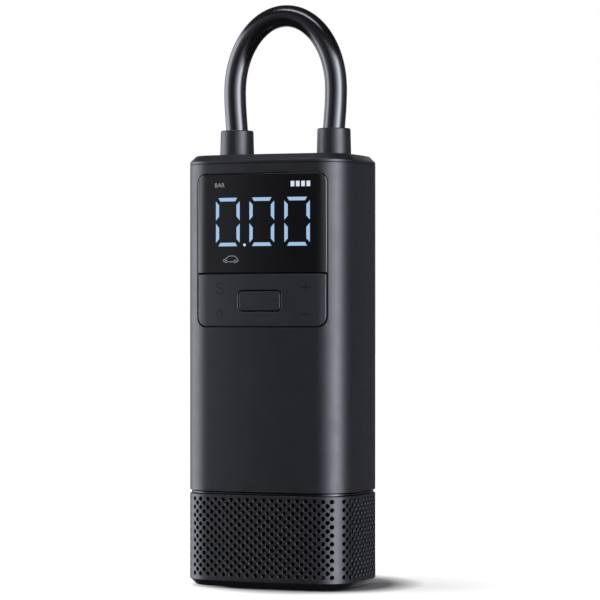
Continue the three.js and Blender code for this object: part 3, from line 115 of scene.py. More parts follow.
class InflatorSizes(bpy.types.PropertyGroup):
    body_width: length("Body width", "Width of the housing across its side faces", 70 * MM)
    body_depth: length("Body depth", "Depth of the housing from front to back", 48.5 * MM)
    corner_radius: length("Corner radius", "Radius of the four upright corners", 13.2 * MM)
    front_arc: length("Front arc", "Radius of the shallow front and back faces", 185.7 * MM)
    side_arc: length("Side arc", "Radius of the shallow side faces", 112.5 * MM)
    wall: length("Wall", "Wall of the housing shells", 2 * MM)
    gap: length("Joint gap", "Gap between two shells", 0.3 * MM)
    seam: length("Seam", "Gap round a plate or a button", 0.42 * MM)
    fine_seam: length("Fine seam", "Gap round the window and below the cap", 0.07 * MM)
    rim: length("Rim", "Rounding of the window's edge", 0.45 * MM)
    chamfer: length("Chamfer", "Chamfer round the top and the foot", 2.4 * MM)
    panel_width: length("Panel width", "Width of the display window and the key plate", 54.7 * MM)
    panel_corner: length("Panel corner", "Radius of the panel's outer corners", 3.9 * MM)
    panel_wall: length("Panel wall", "Thickness of the window and the key plate", 1.6 * MM)
    button_width: length("Button width", "Width of the start button", 17.3 * MM)
    button_height: length("Button height", "Height of the start button", 7.5 * MM)
    button_corner: length("Button corner", "Corner radius of the start button", 1.5 * MM)
    hole_radius: length("Hole radius", "Radius of a grille hole", 0.80 * MM)
    hole_rise: length("Hole rise", "Half of the upright pitch of the holes", 1.62 * MM)
    hole_foot: length("Lowest hole row", "Height of the lowest hole row", 5.38 * MM)
    hose_radius: length("Hose radius", "Outside radius of the air hose", 4.35 * MM)
    edge_room: length("Room at the panel", "Height of the faces that take up the panel's cut", 1.2 * MM)
    edge: length("Edge break", "Rounding of the moulded edges", 0.2 * MM)
    columns: steps("Columns", "Steps round the body, two for each hole", 120)
    panel_columns: steps("Panel columns", "Steps round the sleeve and its plates, none near a cut", 132)


class InflatorColours(bpy.types.PropertyGroup):
    shell: colour("Shell", "Satin plastic of the housing", (0.0080, 0.0083, 0.0102, 1))
    keys: colour("Keys", "Key plate and start button", (0.0124, 0.0128, 0.0150, 1))
    window: colour("Window", "Tinted display window", (0.0018, 0.0018, 0.0022, 1))
    groove: colour("Groove", "Dark ring at the waist", (0.0012, 0.0012, 0.0014, 1))
    hose: colour("Hose", "Air hose", (0.006, 0.006, 0.0075, 1))
    rubber: colour("Rubber", "Sole, mat and grommets", (0.010, 0.010, 0.010, 1))
    digits: colour("Digits", "Lit segments of the display", (0.375, 0.570, 0.82, 1))
    marks: colour("Marks", "Lit battery bars and the point", (0.80, 0.88, 0.98, 1))
    # The unit word and car sign are unlit, yet glow in the dim colour: a painted glow
    dim: colour("Dim marks", "Unlit signs on the display", (0.23, 0.25, 0.28, 1))
    # Key signs: a dark colour of painted shade, standing in for the shade inside engraved signs
    signs: colour("Key signs", "Signs on the key plate", (0.0030, 0.0031, 0.0038, 1))


# Work in object and edit mode


def clear_selection():
    if bpy.context.mode != "OBJECT":
        bpy.ops.object.mode_set(mode="OBJECT")
    bpy.ops.object.select_all(action="DESELECT")


def select_only(obj):
    clear_selection()
    obj.select_set(True)
    bpy.context.view_layer.objects.active = obj


def settle(name):
    """Names the newest object and puts its place into its mesh."""
    obj = bpy.context.object
    obj.name = name
    obj.data.name = name
    select_only(obj)
    bpy.ops.object.transform_apply(location=True, rotation=True, scale=True)
    return obj


def edit(obj, kind="VERT", action="DESELECT"):
    select_only(obj)
    bpy.ops.object.mode_set(mode="EDIT")
    bpy.ops.mesh.select_mode(type=kind)
    bpy.ops.mesh.select_all(action=action)


def done(obj, merge=0.0, outward=False):
    """Back to object mode, with doubles merged and faces turned out where asked."""
    if merge or outward:
        bpy.ops.mesh.select_all(action="SELECT")
    if merge:
        bpy.ops.mesh.remove_doubles(threshold=merge)
    if outward:
        bpy.ops.mesh.normals_make_consistent(inside=False)
    bpy.ops.object.mode_set(mode="OBJECT")
    return obj


def pick(obj, test, kind="VERT"):
    """Selects, in edit mode, what a test of its middle says yes to."""
    bpy.ops.mesh.select_all(action="DESELECT")
    mesh = bmesh.from_edit_mesh(obj.data)
    if kind == "VERT":
        for vert in mesh.verts:
            vert.select = test(vert.co)
    elif kind == "EDGE":
        for edge in mesh.edges:
            if test((edge.verts[0].co + edge.verts[1].co) / 2):
                edge.select = True
    else:
        for face in mesh.faces:
            if test(face.calc_center_median()):
                face.select = True
    mesh.select_flush_mode()
    bmesh.update_edit_mesh(obj.data)


def raise_edges(rise):
    bpy.ops.mesh.extrude_edges_move(TRANSFORM_OT_translate={"value": (0, 0, rise)})


def widen(radius, wanted, at=(0.0, 0.0)):
    grow = wanted / radius
    if abs(grow - 1) > 1e-9:
        bpy.ops.transform.resize(value=(grow, grow, 1), center_override=(at[0], at[1], 0))


def pull_faces(way):
    bpy.ops.mesh.select_mode(type="FACE")
    bpy.ops.mesh.select_all(action="SELECT")
    bpy.ops.mesh.extrude_region_move(TRANSFORM_OT_translate={"value": way})


def turned(name, profile, at=(0.0, 0.0), sides=64, closed=True):
    """A circle pulled through its profile of radius and height, as on a lathe."""
    radius, height = profile[0]
    clear_selection()
    bpy.ops.mesh.primitive_circle_add(vertices=sides, radius=radius, location=(at[0], at[1], height))
    obj = settle(name)
    edit(obj, "EDGE", "SELECT")
    for next_radius, next_height in profile[1:] + (profile[:1] if closed else []):
        raise_edges(next_height - height)
        widen(radius, next_radius, at)
        radius, height = next_radius, next_height
    return done(obj, merge=WELD, outward=True)


def rounded_bar(name, width, height, corners, middle, reach):
    """A rounded rectangle in X and Z pulled along Y from reach[0] to reach[1]."""
    x, z = middle
    clear_selection()
    bpy.ops.mesh.primitive_plane_add(size=1, location=(x, reach[0], z), rotation=(QUARTER, 0, 0))
    bpy.context.object.scale = (width, height, 1)
    obj = settle(name)
    edit(obj)
    for radius, upper in zip(corners, (False, True)):
        if radius > 0:
            pick(obj, lambda co, up=upper: (co.z > z) == up)
            bpy.ops.mesh.bevel(offset=radius, segments=ROUND_STEPS, profile=0.5, affect="VERTICES")
    pull_faces((0, reach[1] - reach[0], 0))
    return done(obj, outward=True)


def upright_slot(name, length_x, width_y, middle, heights):
    """A slot outline in X and Y pulled up from heights[0] to heights[1]."""
    clear_selection()
    bpy.ops.mesh.primitive_plane_add(size=1, location=(*middle, heights[0]))
    bpy.context.object.scale = (length_x, width_y, 1)
    obj = settle(name)
    edit(obj, "VERT", "SELECT")
    bpy.ops.mesh.bevel(offset=width_y * FULL_ROUND, segments=ROUND_STEPS, profile=0.5, affect="VERTICES")
    pull_faces((0, 0, heights[1] - heights[0]))
    return done(obj, merge=WELD, outward=True)


def apply_modifier(obj, kind, **values):
    mod = obj.modifiers.new(kind.lower(), kind)
    for key, value in values.items():
        setattr(mod, key, value)
    select_only(obj)
    bpy.ops.object.modifier_apply(modifier=mod.name)


def carve(obj, tool, operation="DIFFERENCE"):
    apply_modifier(obj, "BOOLEAN", operation=operation, solver="EXACT", object=tool)
    bpy.data.objects.remove(tool, do_unlink=True)
    if not obj.data.polygons:
        raise RuntimeError(f"nothing is left of {obj.name} after its cut")


def round_edges(obj, width, segments=2, angle=40):
    apply_modifier(
        obj,
        "BEVEL",
        width=width,
        segments=segments,
        limit_method="ANGLE",
        angle_limit=math.radians(angle),
        use_clamp_overlap=False,
    )


def shade(obj, angle, weighted):
    select_only(obj)
    bpy.ops.object.shade_smooth_by_angle(angle=math.radians(angle))
    if weighted:
        apply_modifier(obj, "WEIGHTED_NORMAL", keep_sharp=True, weight=50)


def dress(obj, body, slot, material, *nodes, angle=35, weighted=True):
    """Smooths a piece, gives it its material and body, and hides the nodes it stands for; its slot is not
    used.
    """
    shade(obj, angle, weighted)
    obj.data.materials.clear()
    obj.data.materials.append(material)
    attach(obj, body)
    if nodes:
        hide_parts(*nodes)


# The body's section: shallow arcs on four sides, joined by tangent corner arcs


class Section:
    """Turns a place on a round can into the same place on the body."""

    def __init__(self, sizes):
        half_width, half_depth = sizes.body_width / 2, sizes.body_depth / 2
        front = Vector((0, sizes.front_arc - half_depth))
        side = Vector((half_width - sizes.side_arc, 0))
        reach_front = sizes.front_arc - sizes.corner_radius
        reach_side = sizes.side_arc - sizes.corner_radius
        apart = (side - front).length
        along = (reach_front**2 - reach_side**2 + apart**2) / (2 * apart)
        aside = math.sqrt(reach_front**2 - along**2)
        direction = (side - front) / apart
        self.corner = front + direction * along + Vector((-direction.y, direction.x)) * aside
        self.front, self.side = front, side
        self.front_arc, self.side_arc, self.round = sizes.front_arc, sizes.side_arc, sizes.corner_radius
        self.front_turn = math.atan2(self.corner.x, front.y - self.corner.y)
        self.side_turn = math.atan2(-self.corner.y, self.corner.x - side.x)
        self.front_length = self.front_arc * self.front_turn
        self.side_length = self.side_arc * self.side_turn
        self.corner_length = self.round * (QUARTER - self.front_turn - self.side_turn)
        self.quarter = self.front_length + self.corner_length + self.side_length
        self.can_radius = 4 * self.quarter / math.tau

    def place(self, distance, inset):
        """X and Y at a distance round the body from the front middle, towards +X."""
        turns, left = divmod(distance, 2 * self.quarter)
        sign = -1 if int(turns) % 2 else 1
        mirror = left > self.quarter
        if mirror:
            left = 2 * self.quarter - left
        if left <= self.front_length:
            middle, radius, turn = self.front, self.front_arc, left / self.front_arc
        elif left <= self.front_length + self.corner_length:
            middle, radius = self.corner, self.round
            turn = self.front_turn + (left - self.front_length) / self.round
        else:
            middle, radius = self.side, self.side_arc
            turn = QUARTER - (self.quarter - left) / self.side_arc
        reach = radius - inset
        x, y = middle[0] + reach * math.sin(turn), middle[1] - reach * math.cos(turn)
        if mirror:
            y = -y
        return sign * x, sign * y

    def square_up(self, obj):
        """Presses a round can, as wide round as the body, into the body's section."""
        for vert in obj.data.vertices:
            x, y = vert.co.x, vert.co.y
            distance = math.atan2(x, -y) * self.can_radius
            vert.co.x, vert.co.y = self.place(distance, self.can_radius - math.hypot(x, y))

    def face_y(self, x):
        """Y of the front face at a width."""
        if abs(x) <= self.corner.x + self.round * math.sin(self.front_turn):
            return self.front.y - math.sqrt(self.front_arc**2 - x**2)
        return self.corner.y - math.sqrt(max(self.round**2 - (abs(x) - self.corner.x) ** 2, 0))


def body_ring(section, name, profile, columns, closed=True):
    """A ring of the body's section, pulled through a profile of inset and height."""
    can = [(section.can_radius - inset, height) for inset, height in profile]
    obj = turned(name, can, sides=columns, closed=closed)
    section.square_up(obj)
    return obj


def lay_on_front(section, obj, proud):
    """Lays flat marks in X and Z on the front face, standing a little proud."""
    for vert in obj.data.vertices:
        depth = vert.co.y
        vert.co.y = section.face_y(vert.co.x) - proud + depth


# Materials


def grey(level):
    return (level, level, level, 1)


def shaded(value, factor):
    return (value[0] * factor, value[1] * factor, value[2] * factor, 1)


class Tree:
    """Adds nodes to a tree and feeds their inputs."""

    def __init__(self, owner):
        owner.use_nodes = True
        self.tree = owner.node_tree

    def feed(self, socket, value):
        """Links another node's output to a socket, or sets the socket to a plain value."""
        if isinstance(value, bpy.types.NodeSocket):
            self.tree.links.new(value, socket)
        else:
            socket.default_value = value

    def add(self, kind, inputs=None, **values):
        node = self.tree.nodes.new(kind)
        for key, value in values.items():
            setattr(node, key, value)
        for key, value in (inputs or {}).items():
            self.feed(node.inputs[key], value)
        return node

    def combine(self, operation, first, second):
        return self.add("ShaderNodeMath", {0: first, 1: second}, operation=operation).outputs["Value"]

    def seen_directly(self):
        """One for camera, glossy and transmission rays, and nought for light."""
        rays = self.add("ShaderNodeLightPath").outputs
        seen = self.combine("MAXIMUM", rays["Is Camera Ray"], rays["Is Glossy Ray"])
        return self.combine("MAXIMUM", seen, rays["Is Transmission Ray"])


class Nodes(Tree):
    """Builds one procedural material on Object coordinates."""

    def __init__(self, name, base, roughness, level=0.5, metallic=0.0):
        self.material = bpy.data.materials.new(name)
        super().__init__(self.material)
        self.material.diffuse_color = tuple(base)
        self.shader = self.tree.nodes["Principled BSDF"]
        self.dial("Base Color", tuple(base))
        self.dial("Roughness", roughness)
        self.dial("Metallic", metallic)
        self.dial("Specular IOR Level", level)
        self.where = self.add("ShaderNodeTexCoord").outputs["Object"]

    def dial(self, name, value):
        self.feed(self.shader.inputs[name], value)

    def noise(self, scale, detail, stretch=None):
        where = self.where
        if stretch:
            where = self.add("ShaderNodeMapping", {"Vector": where, "Scale": stretch}).outputs["Vector"]
        inputs = {"Vector": where, "Scale": scale, "Detail": detail}
        return self.add("ShaderNodeTexNoise", inputs).outputs["Fac"]

    def span(self, value, low, high, start=0.3, end=0.7):
        inputs = {"Value": value, "From Min": start, "From Max": end, "To Min": low, "To Max": high}
        return self.add("ShaderNodeMapRange", inputs).outputs["Result"]

    def window(self, value, start, full, last, end):
        """One from full to last, fading to nought at the start and the end."""
        return self.times(self.span(value, 0, 1, start, full), self.span(value, 1, 0, last, end))

    def times(self, product, *factors):
        for factor in factors:
            product = self.combine("MULTIPLY", product, factor)
        return product

    def vary_colour(self, pattern, light, dark, start=0.3, end=0.7):
        inputs = {"Factor": self.span(pattern, 0, 1, start, end), "A": tuple(dark), "B": tuple(light)}
        self.dial("Base Color", self.add("ShaderNodeMix", inputs, data_type="RGBA").outputs["Result"])

    def vary_roughness(self, pattern, low, high):
        self.dial("Roughness", self.span(pattern, low, high))

    def bump(self, pattern, depth, strength):
        node = self.add("ShaderNodeBump", {"Height": pattern, "Distance": depth, "Strength": strength})
        self.dial("Normal", node.outputs["Normal"])

    def glow(self, tint, strength):
        self.dial("Emission Color", tint)
        self.dial("Emission Strength", strength)


def moulded(name, base, roughness, grain=0.01 * MM, grain_scale=5200, level=0.5):
    """Moulded plastic with a fine spark grain and faint handling marks."""
    spread = 0.04
    nodes = Nodes(name, base, roughness, level)
    nodes.vary_colour(nodes.noise(38, 3), shaded(base, 1.06), shaded(base, 0.94))
    nodes.vary_roughness(nodes.noise(220, 4), roughness - spread, roughness + spread)
    nodes.bump(nodes.noise(grain_scale, 2), grain, 0.35)
    return nodes.material


def lit(name, base, strength):
    """A lit mark of the display, as it looks through the window; an unlit sign made with it gets a painted
    glow.
    """
    nodes = Nodes(name, shaded(base, 0.2), 0.5, 0.1)
    nodes.glow(tuple(base), strength)
    nodes.vary_roughness(nodes.noise(260, 1), 0.45, 0.55)
    return nodes.material


def metal(name, base, roughness, stretch=None):
    """Machined or drawn metal with fine tool marks."""
    nodes = Nodes(name, base, roughness, metallic=1.0)
    lines = nodes.noise(900, 3, stretch)
    nodes.vary_roughness(lines, roughness - 0.08, roughness + 0.1)
    nodes.vary_colour(nodes.noise(120, 3), shaded(base, 1.05), shaded(base, 0.85))
    nodes.bump(lines, 0.004 * MM, 0.4)
    return nodes.material


def woven(name):
    """Thin dark cloth."""
    nodes = Nodes(name, grey(0.002), 0.95, 0.1)
    weave = nodes.noise(3000, 1)
    nodes.vary_colour(weave, grey(0.003), grey(0.001))
    nodes.bump(weave, 0.05 * MM, 0.5)
    return nodes.material


def tinted(name, base):
    """Smooth dark plastic with faint smears."""
    nodes = Nodes(name, base, 0.12)
    nodes.vary_roughness(nodes.noise(60, 4), 0.09, 0.15)
    nodes.vary_colour(nodes.noise(30, 2), shaded(base, 1.1), base)
    nodes.bump(nodes.noise(90, 1), 0.002 * MM, 0.2)
    return nodes.material


def frosted(name):
    """Milky plastic that lets some light through."""
    nodes = Nodes(name, (0.72, 0.74, 0.76, 1), 0.35)
    nodes.dial("Transmission Weight", 0.35)
    frost = nodes.noise(2600, 3)
    nodes.vary_roughness(frost, 0.28, 0.45)
    nodes.bump(frost, 0.01 * MM, 0.4)
    return nodes.material


def polished(name, base):
    """Smooth rubber of the hose."""
    nodes = Nodes(name, base, 0.16, 0.8)
    nodes.vary_colour(nodes.noise(45, 3), shaded(base, 1.15), shaded(base, 0.85))
    nodes.vary_roughness(nodes.noise(90, 2), 0.14, 0.18)
    nodes.bump(nodes.noise(300, 1), 0.004 * MM, 0.15)
    return nodes.material


def masked(name):
    """Green solder mask with the tracks showing through."""
    nodes = Nodes(name, (0.010, 0.10, 0.045, 1), 0.35)
    tracks = nodes.noise(700, 1, (1, 1, 0.2))
    nodes.vary_colour(tracks, (0.012, 0.14, 0.06, 1), (0.008, 0.08, 0.035, 1), 0.48, 0.52)
    nodes.bump(tracks, 0.02 * MM, 0.3)
    return nodes.material


MADE = {}


def once(make, name, *values):
    """The material of that name, made at its first use."""
    if name not in MADE:
        MADE[name] = make(name, *values)
    return MADE[name]


def shell_finish(colours):
    return once(moulded, "satin_shell", colours.shell, 0.37, 0.006 * MM)


def key_finish(colours):
    return once(moulded, "satin_keys", colours.keys, 0.37, 0.006 * MM)


def rubber_finish(colours):
    return once(moulded, "matt_rubber", colours.rubber, 0.75, 0.03 * MM, 1800, 0.35)


def brass_finish():
    return once(metal, "machined_brass", (0.62, 0.42, 0.16, 1), 0.28, (1, 1, 8))


# One operator for each piece


class Maker:
    bl_options = {"REGISTER", "UNDO"}

    def execute(self, context):
        sizes = context.scene.inflator_sizes
        self.build(sizes, context.scene.inflator_colours, Section(sizes))
        return {"FINISHED"}


class INFLATOR_OT_sleeve(Maker, bpy.types.Operator):
    """Tall shell with the panel opening in front and the port opening behind"""

    bl_idname = "inflator.sleeve"
    bl_label = "Housing sleeve"

    def build(self, sizes, colours, section):
        port_low, port_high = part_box("usb_port")
        port_room, port_band = 0.9 * MM, 3 * MM
        low = foot_of("key_plate") - sizes.gap
        high = top_of("display_window") + sizes.gap
        round_panel = [low - sizes.edge_room, high + sizes.edge_room]
        round_port = [port_low[2] - port_band, port_high[2] + port_band]
        levels = [foot_of("sleeve")] + sorted(round_panel + round_port) + [top_of("sleeve")]
        outside = [(0, level) for level in levels]
        inside = [(sizes.wall, level) for level in reversed(levels)]
        obj = body_ring(section, "housing_sleeve", outside + inside, sizes.panel_columns)
        carve(obj, front_tool("panel_tool", sizes.panel_width, (low, high), [sizes.panel_corner] * 2))
        width = port_high[0] - port_low[0] + port_room
        height = port_high[2] - port_low[2] + port_room
        middle = (0, (port_low[2] + port_high[2]) / 2)
        reach = (0, MM - front_of("sleeve"))
        carve(obj, rounded_bar("port_tool", width, height, [height * FULL_ROUND] * 2, middle, reach))
        round_edges(obj, sizes.edge)
        dress(obj, "housing", "shell", shell_finish(colours), "sleeve")


# The lamp's lens, and what its slot in the lid has more
LAMP_LENGTH, LAMP_WIDTH, LAMP_ROOM = 11 * MM, 5 * MM, 0.6 * MM


class INFLATOR_OT_top_cap(Maker, bpy.types.Operator):
    """Chamfered lid with the nozzle well, the hose root's hole and the lamp's slot"""

    bl_idname = "inflator.top_cap"
    bl_label = "Top cap"

    def build(self, sizes, colours, section):
        spigot_wall, spigot_depth, lid_wall = 1.4 * MM, 2.8 * MM, 2.6 * MM
        seat, top = top_of("sleeve") + sizes.fine_seam, top_of("top_cap")
        spigot = sizes.wall + sizes.gap
        rim, skirt, lid = spigot + spigot_wall, seat - spigot_depth, top - lid_wall
        outline = [
            (rim, skirt), (spigot, skirt), (spigot, seat), (0, seat),
            (0, top - sizes.chamfer), (sizes.chamfer, top), (rim, top),
        ]
        obj = body_ring(section, "top_cap_lid", outline, sizes.columns, closed=False)
        edit(obj, "EDGE")
        pick(obj, lambda co: co.z > top - HAIR and near_ring(section, co, rim), "EDGE")
        bpy.ops.mesh.edge_face_add()
        pick(obj, lambda co: abs(co.z - skirt) < HAIR and near_ring(section, co, rim), "EDGE")
        raise_edges(lid - skirt)
        bpy.ops.mesh.edge_face_add()
        done(obj, merge=WELD, outward=True)
        hose_x, hose_y, _ = middle_of("chuck_sleeve")
        through = (seat - 5 * MM, top + MM)
        well_radius, well_lip, well_outside = 6.4 * MM, 7.0 * MM, 7.8 * MM
        well_depth, well_floor, centre, root_radius = 22.6 * MM, 1.2 * MM, 0.02 * MM, 2.8 * MM
        carve(obj, post("well_tool", well_radius, (hose_x, hose_y), through))
        carve(obj, post("root_tool", root_radius, (-hose_x, hose_y), through))
        slot_length, slot_width = LAMP_LENGTH + LAMP_ROOM, LAMP_WIDTH + LAMP_ROOM
        lamp_y = middle_of("lamp_lens")[1]
        carve(obj, upright_slot("lamp_tool", slot_length, slot_width, (0, lamp_y), through))
        lip_top, shoulder, floor = top - 0.8 * MM, top - 2.7 * MM, top - well_depth
        well_profile = [
            (well_radius, lip_top), (well_radius, floor), (centre, floor), (centre, floor - well_floor),
            (well_outside, floor - well_floor), (well_outside, shoulder), (well_lip, lip_top),
        ]
        well = turned("nozzle_well", well_profile, (hose_x, hose_y))
        for piece, edge in ((obj, sizes.edge), (well, 0.15 * MM)):
            round_edges(piece, edge)
            dress(piece, "housing", "shell", shell_finish(colours), "top_cap")


RINGS = {}
# How far the middle of an edge may lie from its ring
RING_REACH = 0.4 * MM


def ring_places(section, inset):
    """Places round the ring of the body's section at an inset, worked out once."""
    key = round(inset, 7)
    if key not in RINGS:
        count, whole = 240, 4 * section.quarter
        RINGS[key] = [section.place((i / count - 0.5) * whole, inset) for i in range(count)]
    return RINGS[key]


def near_ring(section, co, inset):
    """True on the ring of the body's section at that inset."""
    places = ring_places(section, inset)
    return min(math.hypot(co.x - x, co.y - y) for x, y in places) < RING_REACH


def post(name, radius, at, heights):
    low, high = heights
    clear_selection()
    bpy.ops.mesh.primitive_cylinder_add(
        vertices=64, radius=radius, depth=high - low, location=(at[0], at[1], (low + high) / 2)
    )
    return settle(name)


class HoleGrid:
    """The grille's staggered holes, by column round the can and by row."""

    ROWS = 20
    FRONT_REACH = 17
    SIDE_REACH = 10
    # Shares of a hole's radius within which a face lies in the hole, and a corner on its rim
    OPEN, RIM = 0.97, 1.05

    def __init__(self, sizes, section):
        self.columns, self.rise, self.hole = sizes.columns, sizes.hole_rise, sizes.hole_radius
        self.foot = sizes.hole_foot - sizes.hole_rise
        self.pitch = 4 * section.quarter / sizes.columns
        self.can_radius = section.can_radius

    def level(self, row):
        return self.foot + row * self.rise

    def lattice(self, co):
        return math.atan2(co.x, -co.y) / math.tau * self.columns, (co.z - self.foot) / self.rise

    def is_hole(self, column, row):
        """Staggered holes in front and behind, and shifted by a row on the two sides."""
        if not 1 <= row <= self.ROWS - 1:
            return False
        half = self.columns // 2
        from_front = (column + half // 2) % half - half // 2
        if abs(from_front) <= self.FRONT_REACH:
            return (from_front + row) % 2 == 0
        from_side = column % half - half // 2
        return abs(from_side) <= self.SIDE_REACH and (from_side + row) % 2 == 1

    def on_hole(self, co):
        column, row = self.lattice(co)
        return self.is_hole(round(column), round(row))

    def nearest(self, co):
        """Column, row and distance of the hole that a place belongs to."""
        column, row = self.lattice(co)
        best = (0, 0, math.inf)
        for near_column in (math.floor(column), math.floor(column) + 1):
            for near_row in (math.floor(row), math.floor(row) + 1):
                apart = math.hypot((column - near_column) * self.pitch, (row - near_row) * self.rise)
                if self.is_hole(near_column, near_row) and apart < best[2]:
                    best = (near_column, near_row, apart)
        return best

    def inside(self, co):
        return self.nearest(co)[2] < self.hole * self.OPEN

    def round_up(self, co):
        """Moves a corner of a hole's rim onto its exact circle."""
        near_column, near_row, apart = self.nearest(co)
        if apart < self.hole * self.RIM:
            column, row = self.lattice(co)
            grow = self.hole / apart
            turn = (near_column + (column - near_column) * grow) * self.pitch / self.can_radius
            co.x = self.can_radius * math.sin(turn)
            co.y = -self.can_radius * math.cos(turn)
            co.z = self.level(near_row + (row - near_row) * grow)


class INFLATOR_OT_base_grille(Maker, bpy.types.Operator):
    """Lower shell with its rows of small round holes"""

    bl_idname = "inflator.base_grille"
    bl_label = "Base grille"

    def build(self, sizes, colours, section):
        grid = HoleGrid(sizes, section)
        can = [(grid.can_radius, grid.level(row)) for row in range(grid.ROWS + 1)]
        obj = turned("grille_shell", can, sides=sizes.columns, closed=False)
        edit(obj)
        pick(obj, grid.on_hole)
        round_corner = {"segments": 3, "profile": 0.25, "affect": "VERTICES", "clamp_overlap": False}
        bpy.ops.mesh.bevel(offset=grid.hole, **round_corner)
        mesh = bmesh.from_edit_mesh(obj.data)
        for vert in mesh.verts:
            grid.round_up(vert.co)
        bmesh.update_edit_mesh(obj.data)
        bpy.ops.mesh.select_mode(type="FACE")
        pick(obj, grid.inside, "FACE")
        bpy.ops.mesh.delete(type="FACE")
        bpy.ops.mesh.select_mode(type="EDGE")
        ceiling = grid.level(grid.ROWS)
        pick(obj, lambda co: co.z > ceiling - HAIR, "EDGE")
        raise_edges(top_of("base_grille") - ceiling)
        pick(obj, lambda co: co.z < grid.foot + HAIR, "EDGE")
        lowest, flange = foot_of("base_grille"), 4.2 * MM
        radius, height = grid.can_radius, grid.foot
        for inset, level in ((0, lowest + sizes.chamfer), (sizes.chamfer, lowest), (flange, lowest)):
            raise_edges(level - height)
            widen(radius, grid.can_radius - inset)
            radius, height = grid.can_radius - inset, level
        done(obj, merge=WELD, outward=True)
        section.square_up(obj)
        apply_modifier(obj, "SOLIDIFY", thickness=sizes.wall, offset=-1, use_even_offset=False)
        round_edges(obj, 0.15 * MM, segments=1, angle=50)
        dress(obj, "housing", "shell", shell_finish(colours), "base_grille")


class INFLATOR_OT_shade_liner(Maker, bpy.types.Operator):
    """Thin black cloth that lines the grille, a dark sheet standing in for the shade inside the body
    behind the holes
    """

    bl_idname = "inflator.dust_screen"
    bl_label = "Shade liner"

    def build(self, sizes, colours, section):
        rows_covered, room, thickness = 18.4, 0.05 * MM, 0.4 * MM
        low, high = top_of("base_plate") + sizes.gap, sizes.hole_foot + rows_covered * sizes.hole_rise
        outer, inner = sizes.wall + room, sizes.wall + room + thickness
        outline = [(outer, low), (outer, high), (inner, high), (inner, low)]
        obj = body_ring(section, "shade_liner", outline, sizes.columns)
        # Painted shade: the near-black cloth makes the holes read dark, as the shade inside the body would
        dress(obj, "housing", "rubber", once(woven, "screen_cloth"))


class INFLATOR_OT_waist_ring(Maker, bpy.types.Operator):
    """Dark recessed ring between the base and the sleeve"""

    bl_idname = "inflator.waist_ring"
    bl_label = "Waist ring"

    def build(self, sizes, colours, section):
        low, high = top_of("base_grille") + sizes.gap, foot_of("sleeve") - sizes.gap
        foot, top = foot_of("waist_ring"), top_of("waist_ring")
        face, spigot = 0.6 * MM, sizes.wall + sizes.gap
        inside = spigot + 1.2 * MM
        outline = [
            (spigot, foot), (spigot, low), (face, low), (face, high),
            (spigot, high), (spigot, top), (inside, top), (inside, foot),
        ]
        obj = body_ring(section, "waist_band", outline, sizes.columns)
        round_edges(obj, 0.1 * MM, segments=1)
        finish = once(moulded, "satin_groove", colours.groove, 0.14, 0.002 * MM, 4000, 0.6)
        dress(obj, "housing", "groove", finish, "waist_ring")


def front_tool(name, width, heights, corners):
    """A bar through the front wall, to cut an opening or a plate."""
    low, high = heights
    reach = (front_of("sleeve") - MM, 0)
    return rounded_bar(name, width, high - low, corners, (0, (low + high) / 2), reach)


def front_plate(sizes, section, name, width, heights, corners):
    """A plate of the front face's curve, cut to a rounded outline."""
    low, high = heights[0] - MM, heights[1] + MM
    outline = [(0, low), (0, high), (sizes.panel_wall, high), (sizes.panel_wall, low)]
    blank = body_ring(section, name, outline, sizes.panel_columns)
    carve(blank, front_tool(name + "_tool", width, heights, corners), "INTERSECT")
    return blank


class INFLATOR_OT_display_window(Maker, bpy.types.Operator):
    """Black tinted window, flush with the sleeve"""

    bl_idname = "inflator.display_window"
    bl_label = "Display window"

    def build(self, sizes, colours, section):
        heights = (foot_of("display_window"), top_of("display_window") + sizes.gap - sizes.fine_seam)
        corners = (0.3 * MM, sizes.panel_corner - sizes.fine_seam)
        width = sizes.panel_width - 2 * sizes.fine_seam
        obj = front_plate(sizes, section, "window_plate", width, heights, corners)
        round_edges(obj, sizes.rim, 3)
        dress(obj, "housing", "window", once(tinted, "tinted_window", colours.window), "display_window")


class INFLATOR_OT_key_plate(Maker, bpy.types.Operator):
    """Plate of four rocker keys round the start button"""

    bl_idname = "inflator.key_plate"
    bl_label = "Key plate"

    def build(self, sizes, colours, section):
        heights, corners = (foot_of("key_plate"), top_of("key_plate")), (sizes.panel_corner, 0.3 * MM)
        width = sizes.panel_width - 2 * sizes.seam
        obj = front_plate(sizes, section, "key_panel", width, heights, corners)
        middle, half = middle_of("start_button")[2], sizes.button_height / 2 + sizes.seam
        corners = [sizes.button_corner + sizes.seam] * 2
        width = sizes.button_width + 2 * sizes.seam
        carve(obj, front_tool("button_tool", width, (middle - half, middle + half), corners))
        round_edges(obj, 0.35 * MM, 3)
        dress(obj, "key_plate", "keys", key_finish(colours), "key_plate")


class INFLATOR_OT_start_button(Maker, bpy.types.Operator):
    """Start button in the middle of the key plate"""

    bl_idname = "inflator.start_button"
    bl_label = "Start button"

    def build(self, sizes, colours, section):
        middle, half = middle_of("start_button")[2], sizes.button_height / 2
        heights, corners = (middle - half, middle + half), [sizes.button_corner] * 2
        obj = front_plate(sizes, section, "start_key", sizes.button_width, heights, corners)
        round_edges(obj, 0.3 * MM, 3)
        dress(obj, "start_button", "keys", key_finish(colours), "start_button")


# Marks on the display and the key plate, as X and Z on the front face in millimetres

